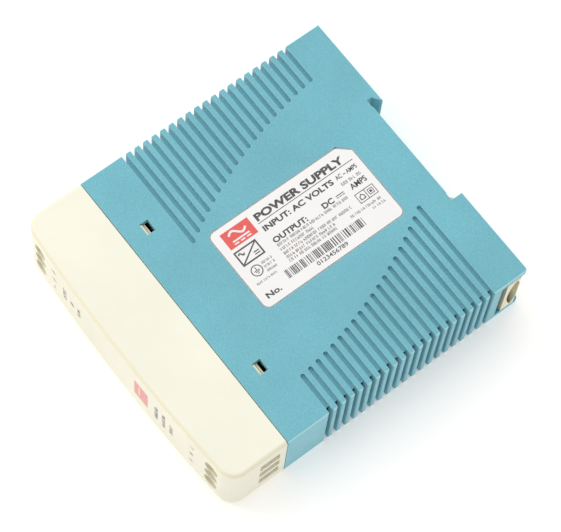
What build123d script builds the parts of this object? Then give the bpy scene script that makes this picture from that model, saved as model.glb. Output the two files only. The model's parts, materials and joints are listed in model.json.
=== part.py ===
from build123d import *
from math import sqrt
import os

# A slim DIN rail power supply lying on its left side.
# Millimetres. +Z points out of the label side, -Y out of the front face,
# +X towards the lower end of the case, where the rail latch is.
# The origin is the centre of the side that the case lies on.

# ---------------------------------------------------------------- case
body_height = 90.0  # along X, top end to bottom end
body_depth = 100.0  # along Y, front face to rear face
body_width = 22.5  # along Z, side to side
cover_depth = 20.0  # how much of the depth the front cover takes
joint_gap = 0.2  # seam between housing and front cover
side_wall = 2.0  # housing walls beside the label and behind
end_wall = 2.0  # slotted housing walls at the two ends
rear_wall = 1.5
edge_round = 0.55  # long outer edges of the housing
rear_corner_radius = 1.0
fit_gap = 0.15  # clearance round anything that drops into the case

# ventilation slots and the grooves that continue them
slot_pitch = 2.834
slot_width = 1.35
groove_depth = 1.0
first_slot_inset = 14.0  # first slot centre behind the seam
last_slot_inset = 12.1  # last slot centre in front of the rear face, at least
groove_arc_radius = 133.0  # line on which the groove ends lie
groove_long = 31.0  # longest groove
groove_short = 12.1  # shortest groove
rib_round = 0.4  # rounding of the ribs between the slots, at the end faces

# windows in the sides that take the cover's snap lugs
window_depth = 2.7
window_height = 3.7
window_spacing = 48.6
window_inset = 6.7  # window centre behind the seam

# ---------------------------------------------------------------- rail seat
rail_height = 35.0
rail_flange = 1.0
rail_slack = 1.5  # seat height beyond the rail's, so that it can be hooked on
flange_clearance = 0.4  # hook slot opening beyond the flange's thickness
seat_depth = 3.5  # rear face down to the rail's seat
seat_top = -19.1  # blind end of the hook slot
hook_reach = 2.5  # how far the hook overhangs the seat
hook_tip = 0.6
hook_tip_slant = 0.4
seat_relief = 0.2  # the floor under the hook and beside the latch's nose stands back
seat_pad_gap = 0.1  # between the seat and the edge of what overhangs its ends

# ---------------------------------------------------------------- latch
latch_travel = 4.0
latch_well_depth = 6.8  # rear face down to the latch's floor
latch_mouth_depth = 8.5  # deeper part of the well behind the end block
latch_mouth_length = 8.0
latch_end_length = 7.0
latch_end_thickness = 6.5
latch_corner_radius = 2.5
latch_plate_width = 13.0
latch_tip_width = 12.0
latch_tip_reach = 2.4  # nose beyond the lower block's face
latch_tip_edge = 0.5
latch_tip_bevel = 1.5
latch_tip_gap = 0.2  # nose above the rail's flange
latch_clearance = 0.3
latch_ear_length = 4.0
latch_ear_thickness = 3.0
lip_overhang = 2.2
stop_length = 2.0
guide_bite = 0.5  # how far ribs and guides run into the walls that carry them
screwdriver_slot_width = 16.4
screwdriver_slot_height = 4.2
screwdriver_slot_depth = 4.5
spring_diameter = 3.8
spring_wire = 0.5
spring_length = 10.0
spring_turns = 7
spring_post = 2.0
spring_post_inset = 0.2  # post's edge inside the coil's
spring_end_gap = 0.05
spring_seat_inset = 3.5  # spring's near end behind the front of the latch

# ---------------------------------------------------------------- front cover
cover_wall = 1.8
front_crown = 1.7  # how far the front falls back from its middle to its ends
cover_corner_radius = 5.0
cover_round = 1.2
tongue_width = 6.0
tongue_thickness = 1.3
tongue_root = 5.0
tongue_tip = 0.4  # tongue's end behind the middle of the window
lug_overlap = 1.35
lug_flat = 0.35  # share of the lug before its ramp
lug_height = 1.5
lug_side_gap = 0.15
lug_bite = 0.3  # how far the lug runs into the tongue

# ---------------------------------------------------------------- terminals
pole_count = 3
pole_pitch = 5.08
driver_web = 0.28  # plastic between neighbouring screwdriver holes
screw_inset = 7.6  # screw axis from the end of the case
wire_window_depth = 6.4  # along Y
wire_window_width = 3.5  # along Z
wire_window_inset = 2.3  # window edge in front of the seam
block_length = 11.0  # along X
block_margin = 0.4  # plastic outside the outer poles
block_rear_gap = 0.8  # block foot in front of the seam
block_bevel = 3.0  # bevel that clears the cover's round corner
block_end_gap = 0.2  # block to the cover's end wall
block_window_lip = 0.3  # the block's wire window is this much shorter than the cover's
head_web = 0.78  # plastic between neighbouring head pockets
head_height = 1.7
head_bevel = 0.25
head_recess = 0.5
neck_length = 2.4  # shank between the head and the raised clamp
driver_slot_width = 0.7
driver_slot_depth = 0.8
driver_cross_length = 2.2
driver_cross_depth = 1.0
thread_pitch = 0.5
screw_turns = 6
thread_clearance = 0.05
strip_thickness = 0.6
strip_clearance = 0.2  # contact strip to the clamp's side walls
strip_tip = 0.6  # strip beyond the clamp, towards the wire
strip_bend = 1.2  # strip beyond the clamp, towards its pin
strip_slot_gap = 0.1
contact_pin = 1.0
pin_overrun = 0.8  # pins stand out behind the terminal board
pole_web = 0.68  # plastic between neighbouring clamp pockets
cage_length = 5.0
cage_wall = 0.5
cage_round = 0.4
cage_nut = 1.4
cage_foot = 1.0
cage_gap = 0.2
cage_opening = 3.6
cage_rest = 0.6  # lowered clamp behind the wire window's rear edge
pocket_clearance = 0.2

# ---------------------------------------------------------------- boards
board_thickness = 1.6
ledge_height = 2.0  # ribs under the main board, above the side wall
ledge_depth = 3.0
ledge_reach = 2.0
ledge_places = (4.0, 34.0, 60.0)  # behind the seam
board_end_gap = 0.3
board_step_inset = 2.0  # step of the main board beside the rail seat's end
terminal_board_gap = 1.0  # terminal board behind the seam
terminal_board_lift = 0.5  # lower edge above the main board's underside
lead_overrun = 0.8  # how far leads stand out under the main board
lead_clearance = 0.1
lead_side = 0.6  # ordinary square leads
link_pitch = 2.54
link_count = 4
link_height = 1.5  # pins above the main board
link_inset = 2.0  # pins behind the terminal board
sheet_thickness = 0.4
sheet_end_gap = 2.4
label_depth = 46.6
label_height = 26.1
label_thickness = 0.12
label_recess = 0.16
label_inset = 17.65  # label edge behind the seam
label_radius = 2.0
label_cut_depth = 3.6
label_cut_height = 3.1
light_pipe_diameter = 1.8
light_pipe_position = -22.1
light_pipe_recess = 0.12  # dome behind the cover's face
light_pipe_dome = 0.35
light_pipe_collar = 0.7  # collar's width round the stem
light_pipe_collar_length = 0.8
lamp_gap = 0.3  # lamp's lens to the light pipe
lamp_width = 2.0
lamp_length = 3.2
lamp_base = 0.6
lamp_lens = 0.8

# ---------------------------------------------------------------- electronics
# sizes of the parts on the main board; places are measured from the seam and the end walls
foot_gap = 0.4  # under most parts that stand on the board
transformer_x = 0.0
transformer_inset = 22.0
former_lift = 1.6  # pin rails under the transformer
core_length = 20.0
core_depth = 16.0
core_thick = 5.0
core_limb = 2.2  # side limbs, and half the middle leg
core_yoke = 3.0
former_height = 12.0
former_width = 14.4
former_flange = 0.8
former_gap = 0.2  # former to the core's yokes
former_sleeve = 0.8  # sleeve's wall round the middle leg
former_rail = 2.4
former_pins = 5
former_pin_pitch = 2.8
winding_gap = 0.1
winding_width = 13.2
winding_height = 11.2
winding_round = 2.2
bulk_diameter = 12.5
bulk_length = 20.0
bulk_inset = 36.0
output_can_diameter = 8.0
output_can_length = 12.0
output_can_inset = 12.0
output_can_pitch = 10.5
output_row = 7.0  # first output can and the inductor from the end wall
choke_row = 9.5
choke_inset = 13.0
choke_lift = 1.0
choke_length = 14.0
choke_depth = 12.0
choke_limb = 3.0
choke_thick = 4.0
choke_coil_diameter = 7.8
choke_coil_length = 7.2
choke_parting = 0.5  # gap between the two coils
choke_air = 0.1  # coil to core
fuse_row = 23.0
fuse_inset = 9.0
fuse_diameter = 8.4
fuse_height = 7.6
fuse_lead_pitch = 5.0
film_can_row = 23.0
film_can_inset = 23.0
film_can_width = 6.0
film_can_length = 13.0
film_can_height = 11.5
film_can_lead_pitch = 10.0
disc_lift = 1.2
varistor_row = 32.5
thermistor_row = 30.5
spreader_thickness = 1.5
spreader_length = 26.0
spreader_height = 12.7
spreader_foot = 3.0  # feet from the ends of the plate
package_place = 9.9  # package's middle from the plate's front end
package_height = 8.0  # screw above the board
package_screw = 8.6  # screw behind the package's middle
package_width = 10.0
package_tab = 1.3
package_body = 4.4
package_leg_pitch = 2.54
primary_row = 22.0
primary_inset = 40.0
secondary_row = 3.5
secondary_inset = 36.0
inductor_inset = 25.0
inductor_height = 12.0
inductor_flange = 8.4
inductor_waist = 4.4
inductor_cheek = 1.2
chip_lead = 0.5

# ---------------------------------------------------------------- derived places
half_height = body_height / 2
half_depth = body_depth / 2
front = -half_depth
rear = half_depth
seam = front + cover_depth
middle = body_width / 2
floor_inside = side_wall
roof_inside = body_width - side_wall
seat = rear - seat_depth
main_board_height = side_wall + ledge_height
screw_x = half_height - screw_inset
pole_offsets = [(k - (pole_count - 1) / 2) * pole_pitch for k in range(pole_count)]
board_top = main_board_height + board_thickness
seat_bottom = seat_top + rail_height + rail_slack
hook_slot = rail_flange + flange_clearance
hook_end = seat_top + hook_reach
nose_end = seat_bottom - latch_tip_reach
cage_width = pole_pitch - pole_web - 2 * pocket_clearance
cage_room = cage_width - 2 * cage_wall
thread_diameter = cage_room - 2 * thread_clearance
strip_width = cage_room - 2 * strip_clearance
head_diameter = pole_pitch - head_web - 2 * pocket_clearance
driver_hole = pole_pitch - driver_web
terminal_board_rear = seam + terminal_board_gap + board_thickness
half_lead = lead_side / 2
slot_count = int((body_depth - cover_depth - first_slot_inset - last_slot_inset) / slot_pitch) + 1
lead_holes = []

os.makedirs("parts", exist_ok=True)


def block(x0, x1, y0, y1, z0, z1):
    """A box given by its two opposite corners."""
    centre = Pos((x0 + x1) / 2, (y0 + y1) / 2, (z0 + z1) / 2)
    return centre * Box(abs(x1 - x0), abs(y1 - y0), abs(z1 - z0))


def rod(axis, radius, start, length):
    """A cylinder that grows from a start point along an axis."""
    turn = {"x": Rot(0, 90, 0), "y": Rot(-90, 0, 0), "z": Rot(0, 0, 0)}[axis]
    aligned = Cylinder(radius, length, align=(Align.CENTER, Align.CENTER, Align.MIN))
    return Pos(*start) * turn * aligned


def lead(x, y, half, top):
    """A square lead, soldered through the main board, which gets a hole for it."""
    lead_holes.append((x, y, half + lead_clearance))
    return block(x - half, x + half, y - half, y + half, main_board_height - lead_overrun, top)


def prism(points, z0, z1):
    """A straight-sided solid from corner points in the XY plane."""
    return Pos(0, 0, z0) * extrude(make_face(Polyline(*points, close=True)), amount=z1 - z0)


def save(shape, name):
    """Write a sub-part with its solids gathered in one compound."""
    solids = shape.solids()
    export_step(solids[0] if len(solids) == 1 else Compound(children=list(solids)), f"parts/{name}.step")


# ================================================================ housing
def housing_outline():
    """Side view of the housing: rail seat, hook and lower block at the rear."""
    relieved = seat - seat_relief
    return [
        (-half_height, seam),
        (half_height, seam),
        (half_height, rear),
        (seat_bottom, rear),
        (seat_bottom, relieved),
        (nose_end - seat_pad_gap, relieved),
        (nose_end - seat_pad_gap, seat),
        (hook_end + seat_pad_gap, seat),
        (hook_end + seat_pad_gap, relieved),
        (seat_top, relieved),
        (seat_top, seat + hook_slot),
        (hook_end - hook_tip_slant, rear - hook_tip),
        (hook_end, rear),
        (-half_height, rear),
    ]


def cavity_outline():
    """Inside of the housing, stepping round the rail seat and the latch well."""
    well_floor = rear - latch_well_depth - rear_wall
    mouth_floor = rear - latch_mouth_depth - rear_wall
    end = half_height - end_wall
    return [
        (-end, seam - 1),
        (-end, rear - rear_wall),
        (seat_top - rear_wall, rear - rear_wall),
        (seat_top - rear_wall, seat - rear_wall),
        (seat_bottom, seat - rear_wall),
        (seat_bottom, well_floor),
        (half_height - latch_mouth_length - rear_wall, well_floor),
        (half_height - latch_mouth_length - rear_wall, mouth_floor),
        (end, mouth_floor),
        (end, seam - 1),
    ]


def groove_length(index):
    """Groove ends lie on an arc that dips towards the end wall, from long to short."""
    run = (slot_count - 1) * slot_pitch
    drop = groove_long - groove_short
    chord = sqrt(run**2 + drop**2)
    reach = sqrt(groove_arc_radius**2 - chord**2 / 4)
    centre_y = run / 2 + reach * drop / chord
    centre_x = drop / 2 - reach * run / chord
    return groove_long - centre_x - sqrt(groove_arc_radius**2 - (index * slot_pitch - centre_y) ** 2)


def slot_profile(sign, inner, y, round_end):
    """One slot seen from the side, with its mouth eased where it meets the end face."""
    outer = half_height + 1
    face = half_height
    half = slot_width / 2
    eased = half + rib_round
    bend = rib_round * (1 - sqrt(0.5))
    lower = [
        Line((inner, y - half), (face - rib_round, y - half)),
        ThreePointArc(
            (face - rib_round, y - half), (face - bend, y - half - bend), (face, y - eased)
        ),
        Polyline((face, y - eased), (outer, y - eased), (outer, y + eased), (face, y + eased)),
        ThreePointArc(
            (face, y + eased), (face - bend, y + half + bend), (face - rib_round, y + half)
        ),
        Line((face - rib_round, y + half), (inner, y + half)),
    ]
    if round_end:
        lower.append(ThreePointArc((inner, y + half), (inner - half, y), (inner, y - half)))
    else:
        lower.append(Line((inner, y + half), (inner, y - half)))
    profile = make_face(lower)
    return profile if sign > 0 else mirror(profile, about=Plane.YZ)


def slot_cutters():
    """Grooves in both sides and the slots through both end walls."""
    cutters = []
    for index in range(slot_count):
        inner = half_height - groove_length(index)
        for sign in (-1, 1):
            row = index if sign < 0 else slot_count - 1 - index
            y = seam + first_slot_inset + row * slot_pitch
            groove = slot_profile(sign, inner, y, True)
            for z0 in (-1, body_width - groove_depth):
                cutters.append(Pos(0, 0, z0) * extrude(groove, amount=1 + groove_depth, dir=(0, 0, 1)))
            through = slot_profile(sign, half_height - end_wall - 0.01, y, False)
            depth = body_width - 2 * groove_depth
            cutters.append(Pos(0, 0, groove_depth) * extrude(through, amount=depth, dir=(0, 0, 1)))
    return cutters


def latch_well():
    """The space for the latch in the lower block, open to the rear and to the end."""
    start = seat_bottom + rear_wall
    stop = half_height - latch_mouth_length
    deep = block(start, stop, rear - latch_well_depth, rear + 1, floor_inside, roof_inside)
    mouth = block(stop, half_height + 1, rear - latch_mouth_depth, rear + 1, floor_inside, roof_inside)
    half_notch = latch_tip_width / 2 + latch_clearance
    low_y = seat + rail_flange - fit_gap
    notch = block(seat_bottom - 1, start, low_y, rear + 1, middle - half_notch, middle + half_notch)
    return deep + mouth + notch


def latch_guides():
    """Lips that hold the latch in, stops for its ears and the spring's post."""
    start = seat_bottom + rear_wall
    ear_end = start + fit_gap + latch_ear_length + latch_travel
    ear_top = rear - latch_well_depth + latch_clearance + latch_ear_thickness
    lip_y = ear_top + latch_clearance
    floor_y = rear - latch_well_depth - guide_bite
    guides = []
    for wall, inward in ((floor_inside, 1), (roof_inside, -1)):
        edge = wall + inward * lip_overhang
        outside = wall - inward * guide_bite
        guides.append(block(start - guide_bite, ear_end + stop_length, lip_y, rear, outside, edge))
        guides.append(block(ear_end, ear_end + stop_length, floor_y, rear, outside, edge))
    post_x = spring_start() + spring_length
    post_top = rear - latch_well_depth + latch_clearance + spring_diameter
    half_post = spring_diameter / 2 - spring_post_inset
    post_z = (middle - half_post, middle + half_post)
    guides.append(block(post_x, post_x + spring_post, floor_y, post_top, *post_z))
    return guides


def spring_start():
    """Where the spring presses on the latch."""
    return seat_bottom + rear_wall + spring_seat_inset


def board_ledges():
    """Ribs in the four corners of the case that carry the main board."""
    ledges = []
    for sign in (-1, 1):
        wall = sign * (half_height - end_wall + guide_bite)
        inner = sign * (half_height - end_wall - ledge_reach)
        for place in ledge_places:
            y = seam + place
            low = floor_inside - guide_bite
            ledges.append(block(wall, inner, y, y + ledge_depth, low, main_board_height))
    return ledges


def label_face(grow, z0, z1):
    """The label's outline: three round corners and one cut corner."""
    y0 = seam + label_inset - grow
    y1 = seam + label_inset + label_depth + grow
    x0 = -label_height / 2 - grow
    x1 = label_height / 2 + grow
    sheet = block(x0, x1, y0, y1, z0, z1)
    cut = [
        (x0 - 1, y1 + 1),
        (x0 - 1, y1 - label_cut_depth),
        (x0, y1 - label_cut_depth),
        (x0 + label_cut_height, y1),
        (x0 + label_cut_height, y1 + 1),
    ]
    upright = sheet.edges().filter_by(Axis.Z)
    kept = [edge for edge in upright if not (edge.center().X < 0 and edge.center().Y > (y0 + y1) / 2)]
    return fillet(kept, label_radius) - prism(cut, z0 - 1, z1 + 1)


def make_housing():
    body = prism(housing_outline(), 0, body_width)
    corner = body.edges().filter_by(Axis.Z).sort_by(lambda e: e.center().X + e.center().Y)[-1]
    body = fillet(corner, rear_corner_radius)

    def on_outside(edge):
        place = edge.center()
        level = abs(place.Z - middle) > middle - 0.01
        end = abs(abs(place.X) - half_height) < rear_corner_radius
        back = abs(place.Y - rear) < 0.01
        return level and (end or back) and abs(place.Y - seam) > 0.01

    body = fillet(body.edges().filter_by(on_outside), edge_round)
    body -= prism(cavity_outline(), floor_inside, roof_inside)
    body -= latch_well()
    for guide in latch_guides() + board_ledges():
        body += guide
    windows = []
    window_y = seam + window_inset
    for x in (-window_spacing / 2, window_spacing / 2):
        for z0 in (-1, roof_inside - 0.5):
            windows.append(
                block(
                    x - window_height / 2,
                    x + window_height / 2,
                    window_y - window_depth / 2,
                    window_y + window_depth / 2,
                    z0,
                    z0 + side_wall + 1.5,
                )
            )
    body -= windows + slot_cutters()
    body -= label_face(fit_gap, body_width - label_recess, body_width + 1)
    return body


# ================================================================ front cover
def front_sag(x):
    """How far the bowed front lies behind its middle at a given height."""
    return front_crown * (x / half_height) ** 2


def cover_outline(inset, back):
    """Side view of the cover, bowed in front with round corners."""
    side = half_height - inset
    face = front + inset
    shoulder = face + front_sag(side)
    bow = ThreePointArc((-side, shoulder), (0, face), (side, shoulder))
    sides = Polyline((side, shoulder), (side, back), (-side, back), (-side, shoulder))
    outline = make_face([bow, sides])
    corners = outline.vertices().sort_by(Axis.Y)[:2]
    return fillet(corners, cover_corner_radius - inset)


def make_front_cover():
    edge = seam - joint_gap
    shell = extrude(cover_outline(0, edge), amount=body_width)

    def soft(e):
        place = e.center()
        return abs(place.Z - middle) > middle - 0.01 and place.Y < edge - 0.01

    shell = fillet(shell.edges().filter_by(soft), cover_round)
    inside = cover_outline(cover_wall, edge + 1)
    hollow = extrude(inside, amount=body_width - 2 * cover_wall)
    shell -= Pos(0, 0, cover_wall) * hollow
    cuts = []
    for sign in (-1, 1):
        for offset in pole_offsets:
            z = middle + offset
            cuts.append(rod("y", driver_hole / 2, (sign * screw_x, front - 1, z), cover_depth / 2))
            window_y = seam - wire_window_inset
            cuts.append(
                block(
                    sign * (half_height + 1),
                    sign * (half_height - cover_wall - 0.5),
                    window_y - wire_window_depth,
                    window_y,
                    z - wire_window_width / 2,
                    z + wire_window_width / 2,
                )
            )
    pipe_radius = light_pipe_diameter / 2 + fit_gap / 2
    cuts.append(rod("y", pipe_radius, (light_pipe_position, front - 1, middle), cover_depth / 2))
    shell -= cuts
    for x in (-window_spacing / 2, window_spacing / 2):
        for side in (-1, 1):
            shell += snap_tongue(x, side)
    return shell


def snap_tongue(x, side):
    """A springy tongue with a ramped lug that clicks into a housing window."""
    wall = roof_inside if side > 0 else floor_inside
    outer = wall - side * fit_gap
    inner = outer - side * tongue_thickness
    window_y = seam + window_inset
    lug_start = window_y - window_depth / 2 + fit_gap / 2
    tip = window_y + tongue_tip
    tongue = block(x - tongue_width / 2, x + tongue_width / 2, seam - tongue_root, tip, inner, outer)
    skin = body_width - cover_wall if side > 0 else cover_wall
    root = block(
        x - tongue_width / 2,
        x + tongue_width / 2,
        seam - tongue_root,
        seam - joint_gap - lug_bite,
        inner,
        skin + side * guide_bite,
    )
    lug_top = outer + side * (lug_height + fit_gap)
    ramp = Polyline(
        (0, lug_start, outer - side * lug_bite),
        (0, lug_start, lug_top),
        (0, lug_start + lug_overlap * lug_flat, lug_top),
        (0, lug_start + lug_overlap, outer - side * lug_bite),
        close=True,
    )
    half_lug = window_height / 2 - lug_side_gap
    lug = Pos(x - half_lug, 0, 0) * extrude(make_face(ramp), amount=2 * half_lug, dir=(1, 0, 0))
    return tongue + root + lug


# ================================================================ label
def make_label():
    base = body_width - label_recess
    return label_face(0, base, base + label_thickness)


# ================================================================ latch
def make_latch():
    start = seat_bottom + rear_wall
    under = rear - latch_well_depth + latch_clearance
    plate_top = rear - latch_clearance
    half_plate = latch_plate_width / 2
    half_tip = latch_tip_width / 2
    end_x = half_height
    end_start = end_x - latch_end_length
    plate_z = (middle - half_plate, middle + half_plate)
    plate = block(start + fit_gap, end_start + 0.5, under, plate_top, *plate_z)
    ears = block(
        start + fit_gap,
        start + fit_gap + latch_ear_length,
        under,
        under + latch_ear_thickness,
        floor_inside + latch_clearance,
        roof_inside - latch_clearance,
    )
    nose_y = seat + rail_flange + latch_tip_gap
    nose = prism(
        [
            (start + 1, nose_y),
            (nose_end, nose_y),
            (nose_end, nose_y + latch_tip_edge),
            (nose_end + latch_tip_bevel, plate_top),
            (start + 1, plate_top),
        ],
        middle - half_tip,
        middle + half_tip,
    )
    body = plate + ears + nose + latch_end_block()
    pocket_start = spring_start()
    pocket_end = pocket_start + spring_length + spring_post + fit_gap
    half_pocket = spring_diameter / 2 + latch_clearance
    pocket_top = rear - latch_well_depth + 2 * latch_clearance + spring_diameter + 0.2
    pocket_z = (middle - half_pocket, middle + half_pocket)
    pocket = block(pocket_start, pocket_end, under - 1, pocket_top, *pocket_z)
    return body - pocket


def latch_end_block():
    """The end of the latch that a screwdriver pulls, with a lens-shaped slot."""
    end_x = half_height
    low = floor_inside + latch_clearance
    high = roof_inside - latch_clearance
    body = block(end_x - latch_end_length, end_x, rear - latch_end_thickness, rear, low, high)
    corner = body.edges().filter_by(Axis.Z).sort_by(lambda e: e.center().X + e.center().Y)[-1]
    body = fillet(corner, latch_corner_radius)
    lens_y = rear - latch_end_thickness / 2
    half_wide = screwdriver_slot_width / 2
    half_tall = screwdriver_slot_height / 2
    near = (0, lens_y, middle - half_wide)
    far = (0, lens_y, middle + half_wide)
    upper = ThreePointArc(near, (0, lens_y + half_tall, middle), far)
    lower = ThreePointArc(far, (0, lens_y - half_tall, middle), near)
    lens = extrude(make_face([upper, lower]), amount=screwdriver_slot_depth + 1, dir=(1, 0, 0))
    return body - Pos(end_x - screwdriver_slot_depth, 0, 0) * lens


def make_spring():
    """Compression spring between the latch and the post in the well."""
    radius = (spring_diameter - spring_wire) / 2
    coil_length = spring_length - spring_wire - 2 * spring_end_gap
    y = rear - latch_well_depth + latch_clearance + spring_diameter / 2
    path = Helix(pitch=coil_length / spring_turns, height=coil_length, radius=radius)
    section = Plane(origin=path @ 0, z_dir=path % 0) * Circle(spring_wire / 2)
    coil = sweep(section, path=path)
    return Pos(spring_start() + spring_wire / 2 + spring_end_gap, y, middle) * Rot(0, 90, 0) * coil


# ================================================================ terminals
def clamp_levels():
    """Places along Y of the parts of one screw clamp, from the head inwards."""
    window_rear = seam - wire_window_inset
    cage_rear = window_rear + cage_rest
    opening_rear = cage_rear - cage_foot
    strip_front = opening_rear - cage_opening - strip_thickness
    nut_rear = strip_front - cage_gap
    nut_front = nut_rear - cage_nut
    travel = thread_pitch * screw_turns
    head_rear = nut_front - travel - neck_length
    return {
        "cage_rear": cage_rear,
        "opening_rear": opening_rear,
        "strip_front": strip_front,
        "nut_rear": nut_rear,
        "nut_front": nut_front,
        "travel": travel,
        "head_rear": head_rear,
        "head_front": head_rear - head_height,
    }


def make_terminal_block(sign):
    levels = clamp_levels()
    outer = half_height - cover_wall - block_end_gap
    inner = outer - block_length
    half_wide = pole_pitch * pole_count / 2 + block_margin
    foot = seam - block_rear_gap
    top = levels["head_front"] - head_recess
    body = block(sign * inner, sign * outer, top, foot, middle - half_wide, middle + half_wide)
    corner = body.edges().filter_by(Axis.Z).sort_by(lambda e: sign * e.center().X - e.center().Y)[-1]
    body = chamfer(corner, block_bevel)
    cuts = []
    half_cage = cage_length / 2 + pocket_clearance
    half_pocket = cage_width / 2 + pocket_clearance
    pocket_front = levels["nut_front"] - levels["travel"] - pocket_clearance
    pocket_rear = levels["cage_rear"] + pocket_clearance
    for offset in pole_offsets:
        z = middle + offset
        x = sign * screw_x
        head_floor = levels["head_rear"] + pocket_clearance / 2
        cuts.append(rod("y", head_diameter / 2 + pocket_clearance, (x, top - 1, z), head_floor - top + 1))
        cuts.append(rod("y", thread_diameter / 2 + fit_gap, (x, top, z), pocket_front - top + 0.1))
        pocket_z = (z - half_pocket, z + half_pocket)
        cuts.append(block(x - half_cage, x + half_cage, pocket_front, pocket_rear, *pocket_z))
        window_y = seam - wire_window_inset
        cuts.append(
            block(
                x,
                sign * (outer + 1),
                window_y - wire_window_depth + block_window_lip,
                window_y,
                z - wire_window_width / 2,
                z + wire_window_width / 2,
            )
        )
        cuts.append(contact_strip(sign, z, strip_slot_gap))
    return body - cuts


def contact_strip(sign, z, grow):
    """One conductor: through the clamp, then down the inner wall to the board."""
    levels = clamp_levels()
    half_strip = strip_width / 2 + grow
    front_y = levels["strip_front"] - grow
    rear_y = levels["strip_front"] + strip_thickness + grow
    tip = screw_x + cage_length / 2 + strip_tip + grow
    bend = screw_x - cage_length / 2 - strip_bend - grow
    pin_end = terminal_board_rear + pin_overrun
    blade_z = (z - half_strip, z + half_strip)
    blade = block(sign * tip, sign * bend, front_y, rear_y, *blade_z)
    leg_inner = bend + strip_thickness + 2 * grow
    leg = block(sign * bend, sign * leg_inner, front_y, seam + terminal_board_gap, *blade_z)
    half_pin = contact_pin / 2 + grow
    pin = block(sign * bend, sign * leg_inner, seam, pin_end, z - half_pin, z + half_pin)
    return blade + leg + pin


def make_contacts(sign):
    strips = [contact_strip(sign, middle + offset, 0) for offset in pole_offsets]
    return Compound(children=[strip.solids()[0] for strip in strips])


def make_screw(sign, z):
    levels = clamp_levels()
    x = sign * screw_x
    head = rod("y", head_diameter / 2, (x, levels["head_front"], z), head_height)
    rim = head.edges().filter_by(GeomType.CIRCLE).sort_by(Axis.Y)[0]
    head = chamfer(rim, head_bevel)
    shank_start = levels["head_rear"] - head_bevel
    shank_end = levels["nut_rear"] - thread_clearance
    shank = rod("y", thread_diameter / 2, (x, shank_start, z), shank_end - shank_start)
    outside = levels["head_front"] - 1
    slot_floor = levels["head_front"] + driver_slot_depth
    cross_floor = levels["head_front"] + driver_cross_depth
    half_slot = driver_slot_width / 2
    half_cross = driver_cross_length / 2
    slot = block(x - head_diameter, x + head_diameter, outside, slot_floor, z - half_slot, z + half_slot)
    cross = block(x - half_cross, x + half_cross, outside, cross_floor, z - half_slot, z + half_slot)
    upright = block(x - half_slot, x + half_slot, outside, cross_floor, z - half_cross, z + half_cross)
    return head + shank - [slot, cross, upright]


def make_cage(sign, z):
    levels = clamp_levels()
    x = sign * screw_x
    half_long = cage_length / 2
    half_wide = cage_width / 2
    frame_z = (z - half_wide, z + half_wide)
    frame = block(x - half_long, x + half_long, levels["nut_front"], levels["cage_rear"], *frame_z)
    frame = fillet(frame.edges().filter_by(Axis.X), cage_round)
    opening = block(
        x - half_long - 1,
        x + half_long + 1,
        levels["nut_rear"],
        levels["opening_rear"],
        z - cage_room / 2,
        z + cage_room / 2,
    )
    thread = rod("y", thread_diameter / 2 + thread_clearance, (x, levels["nut_front"] - 1, z), cage_nut + 2)
    return frame - [opening, thread]


# ================================================================ boards
def make_main_board():
    """Built last: every lead above has left the place of its hole."""
    end = half_height - end_wall - board_end_gap
    front_edge = terminal_board_rear + pin_overrun + board_end_gap
    rear_edge = rear - latch_mouth_depth - rear_wall - board_end_gap
    step_edge = seat - seat_relief - rear_wall - board_end_gap
    level = (main_board_height, board_top)
    board = block(-end, end, front_edge, rear_edge, *level)
    board += block(-end, seat_bottom - board_step_inset, rear_edge - 1, step_edge, *level)
    holes = []
    for x, y, half in lead_holes:
        holes.append(block(x - half, x + half, y - half, y + half, main_board_height - 1, board_top + 1))
    return board - holes


def link_places():
    """Pins that join the main board to the terminal board."""
    y = terminal_board_rear + link_inset
    half_row = screw_x + lead_clearance
    return [(sign * (half_row - k * link_pitch), y) for sign in (-1, 1) for k in range(link_count)]


def make_terminal_board():
    end = half_height - end_wall - board_end_gap - fit_gap
    front_face = seam + terminal_board_gap
    low = main_board_height + terminal_board_lift
    high = roof_inside - fit_gap - tongue_thickness - board_end_gap
    board = block(-end, end, front_face, terminal_board_rear, low, high)
    cuts = []
    for sign in (-1, 1):
        for offset in pole_offsets:
            cuts.append(contact_strip(sign, middle + offset, strip_slot_gap))
    half = half_lead + lead_clearance
    level = board_top + link_height
    for x, y in link_places():
        cuts.append(block(x - half, x + half, front_face - 1, y - 1, level - half, level + half))
    return board - cuts


def make_link_pins():
    """Right-angle pins from the terminal board down into the main board."""
    pins = []
    level = board_top + link_height
    start = seam + terminal_board_gap - lead_side
    for x, y in link_places():
        upright = (level - half_lead, level + half_lead)
        across = block(x - half_lead, x + half_lead, start, y + half_lead, *upright)
        pins.append((across + lead(x, y, half_lead, level + half_lead)).solids()[0])
    return Compound(children=pins)


def make_sheet():
    """Insulating sheet between the solder side and the housing."""
    end = half_height - end_wall - sheet_end_gap
    start = seam + window_inset + window_depth / 2 + fit_gap
    stop = rear - latch_mouth_depth - rear_wall - board_end_gap
    base = floor_inside + fit_gap
    return block(-end, end, start, stop, base, base + sheet_thickness)


def make_led():
    x = light_pipe_position
    y = seam + terminal_board_gap
    half = lamp_width / 2
    base = block(x - half, x + half, y - lamp_base, y, middle - lamp_length / 2, middle + lamp_length / 2)
    return base + rod("y", light_pipe_diameter / 2, (x, y - lamp_base - lamp_lens + 0.1, middle), lamp_lens)


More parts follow.
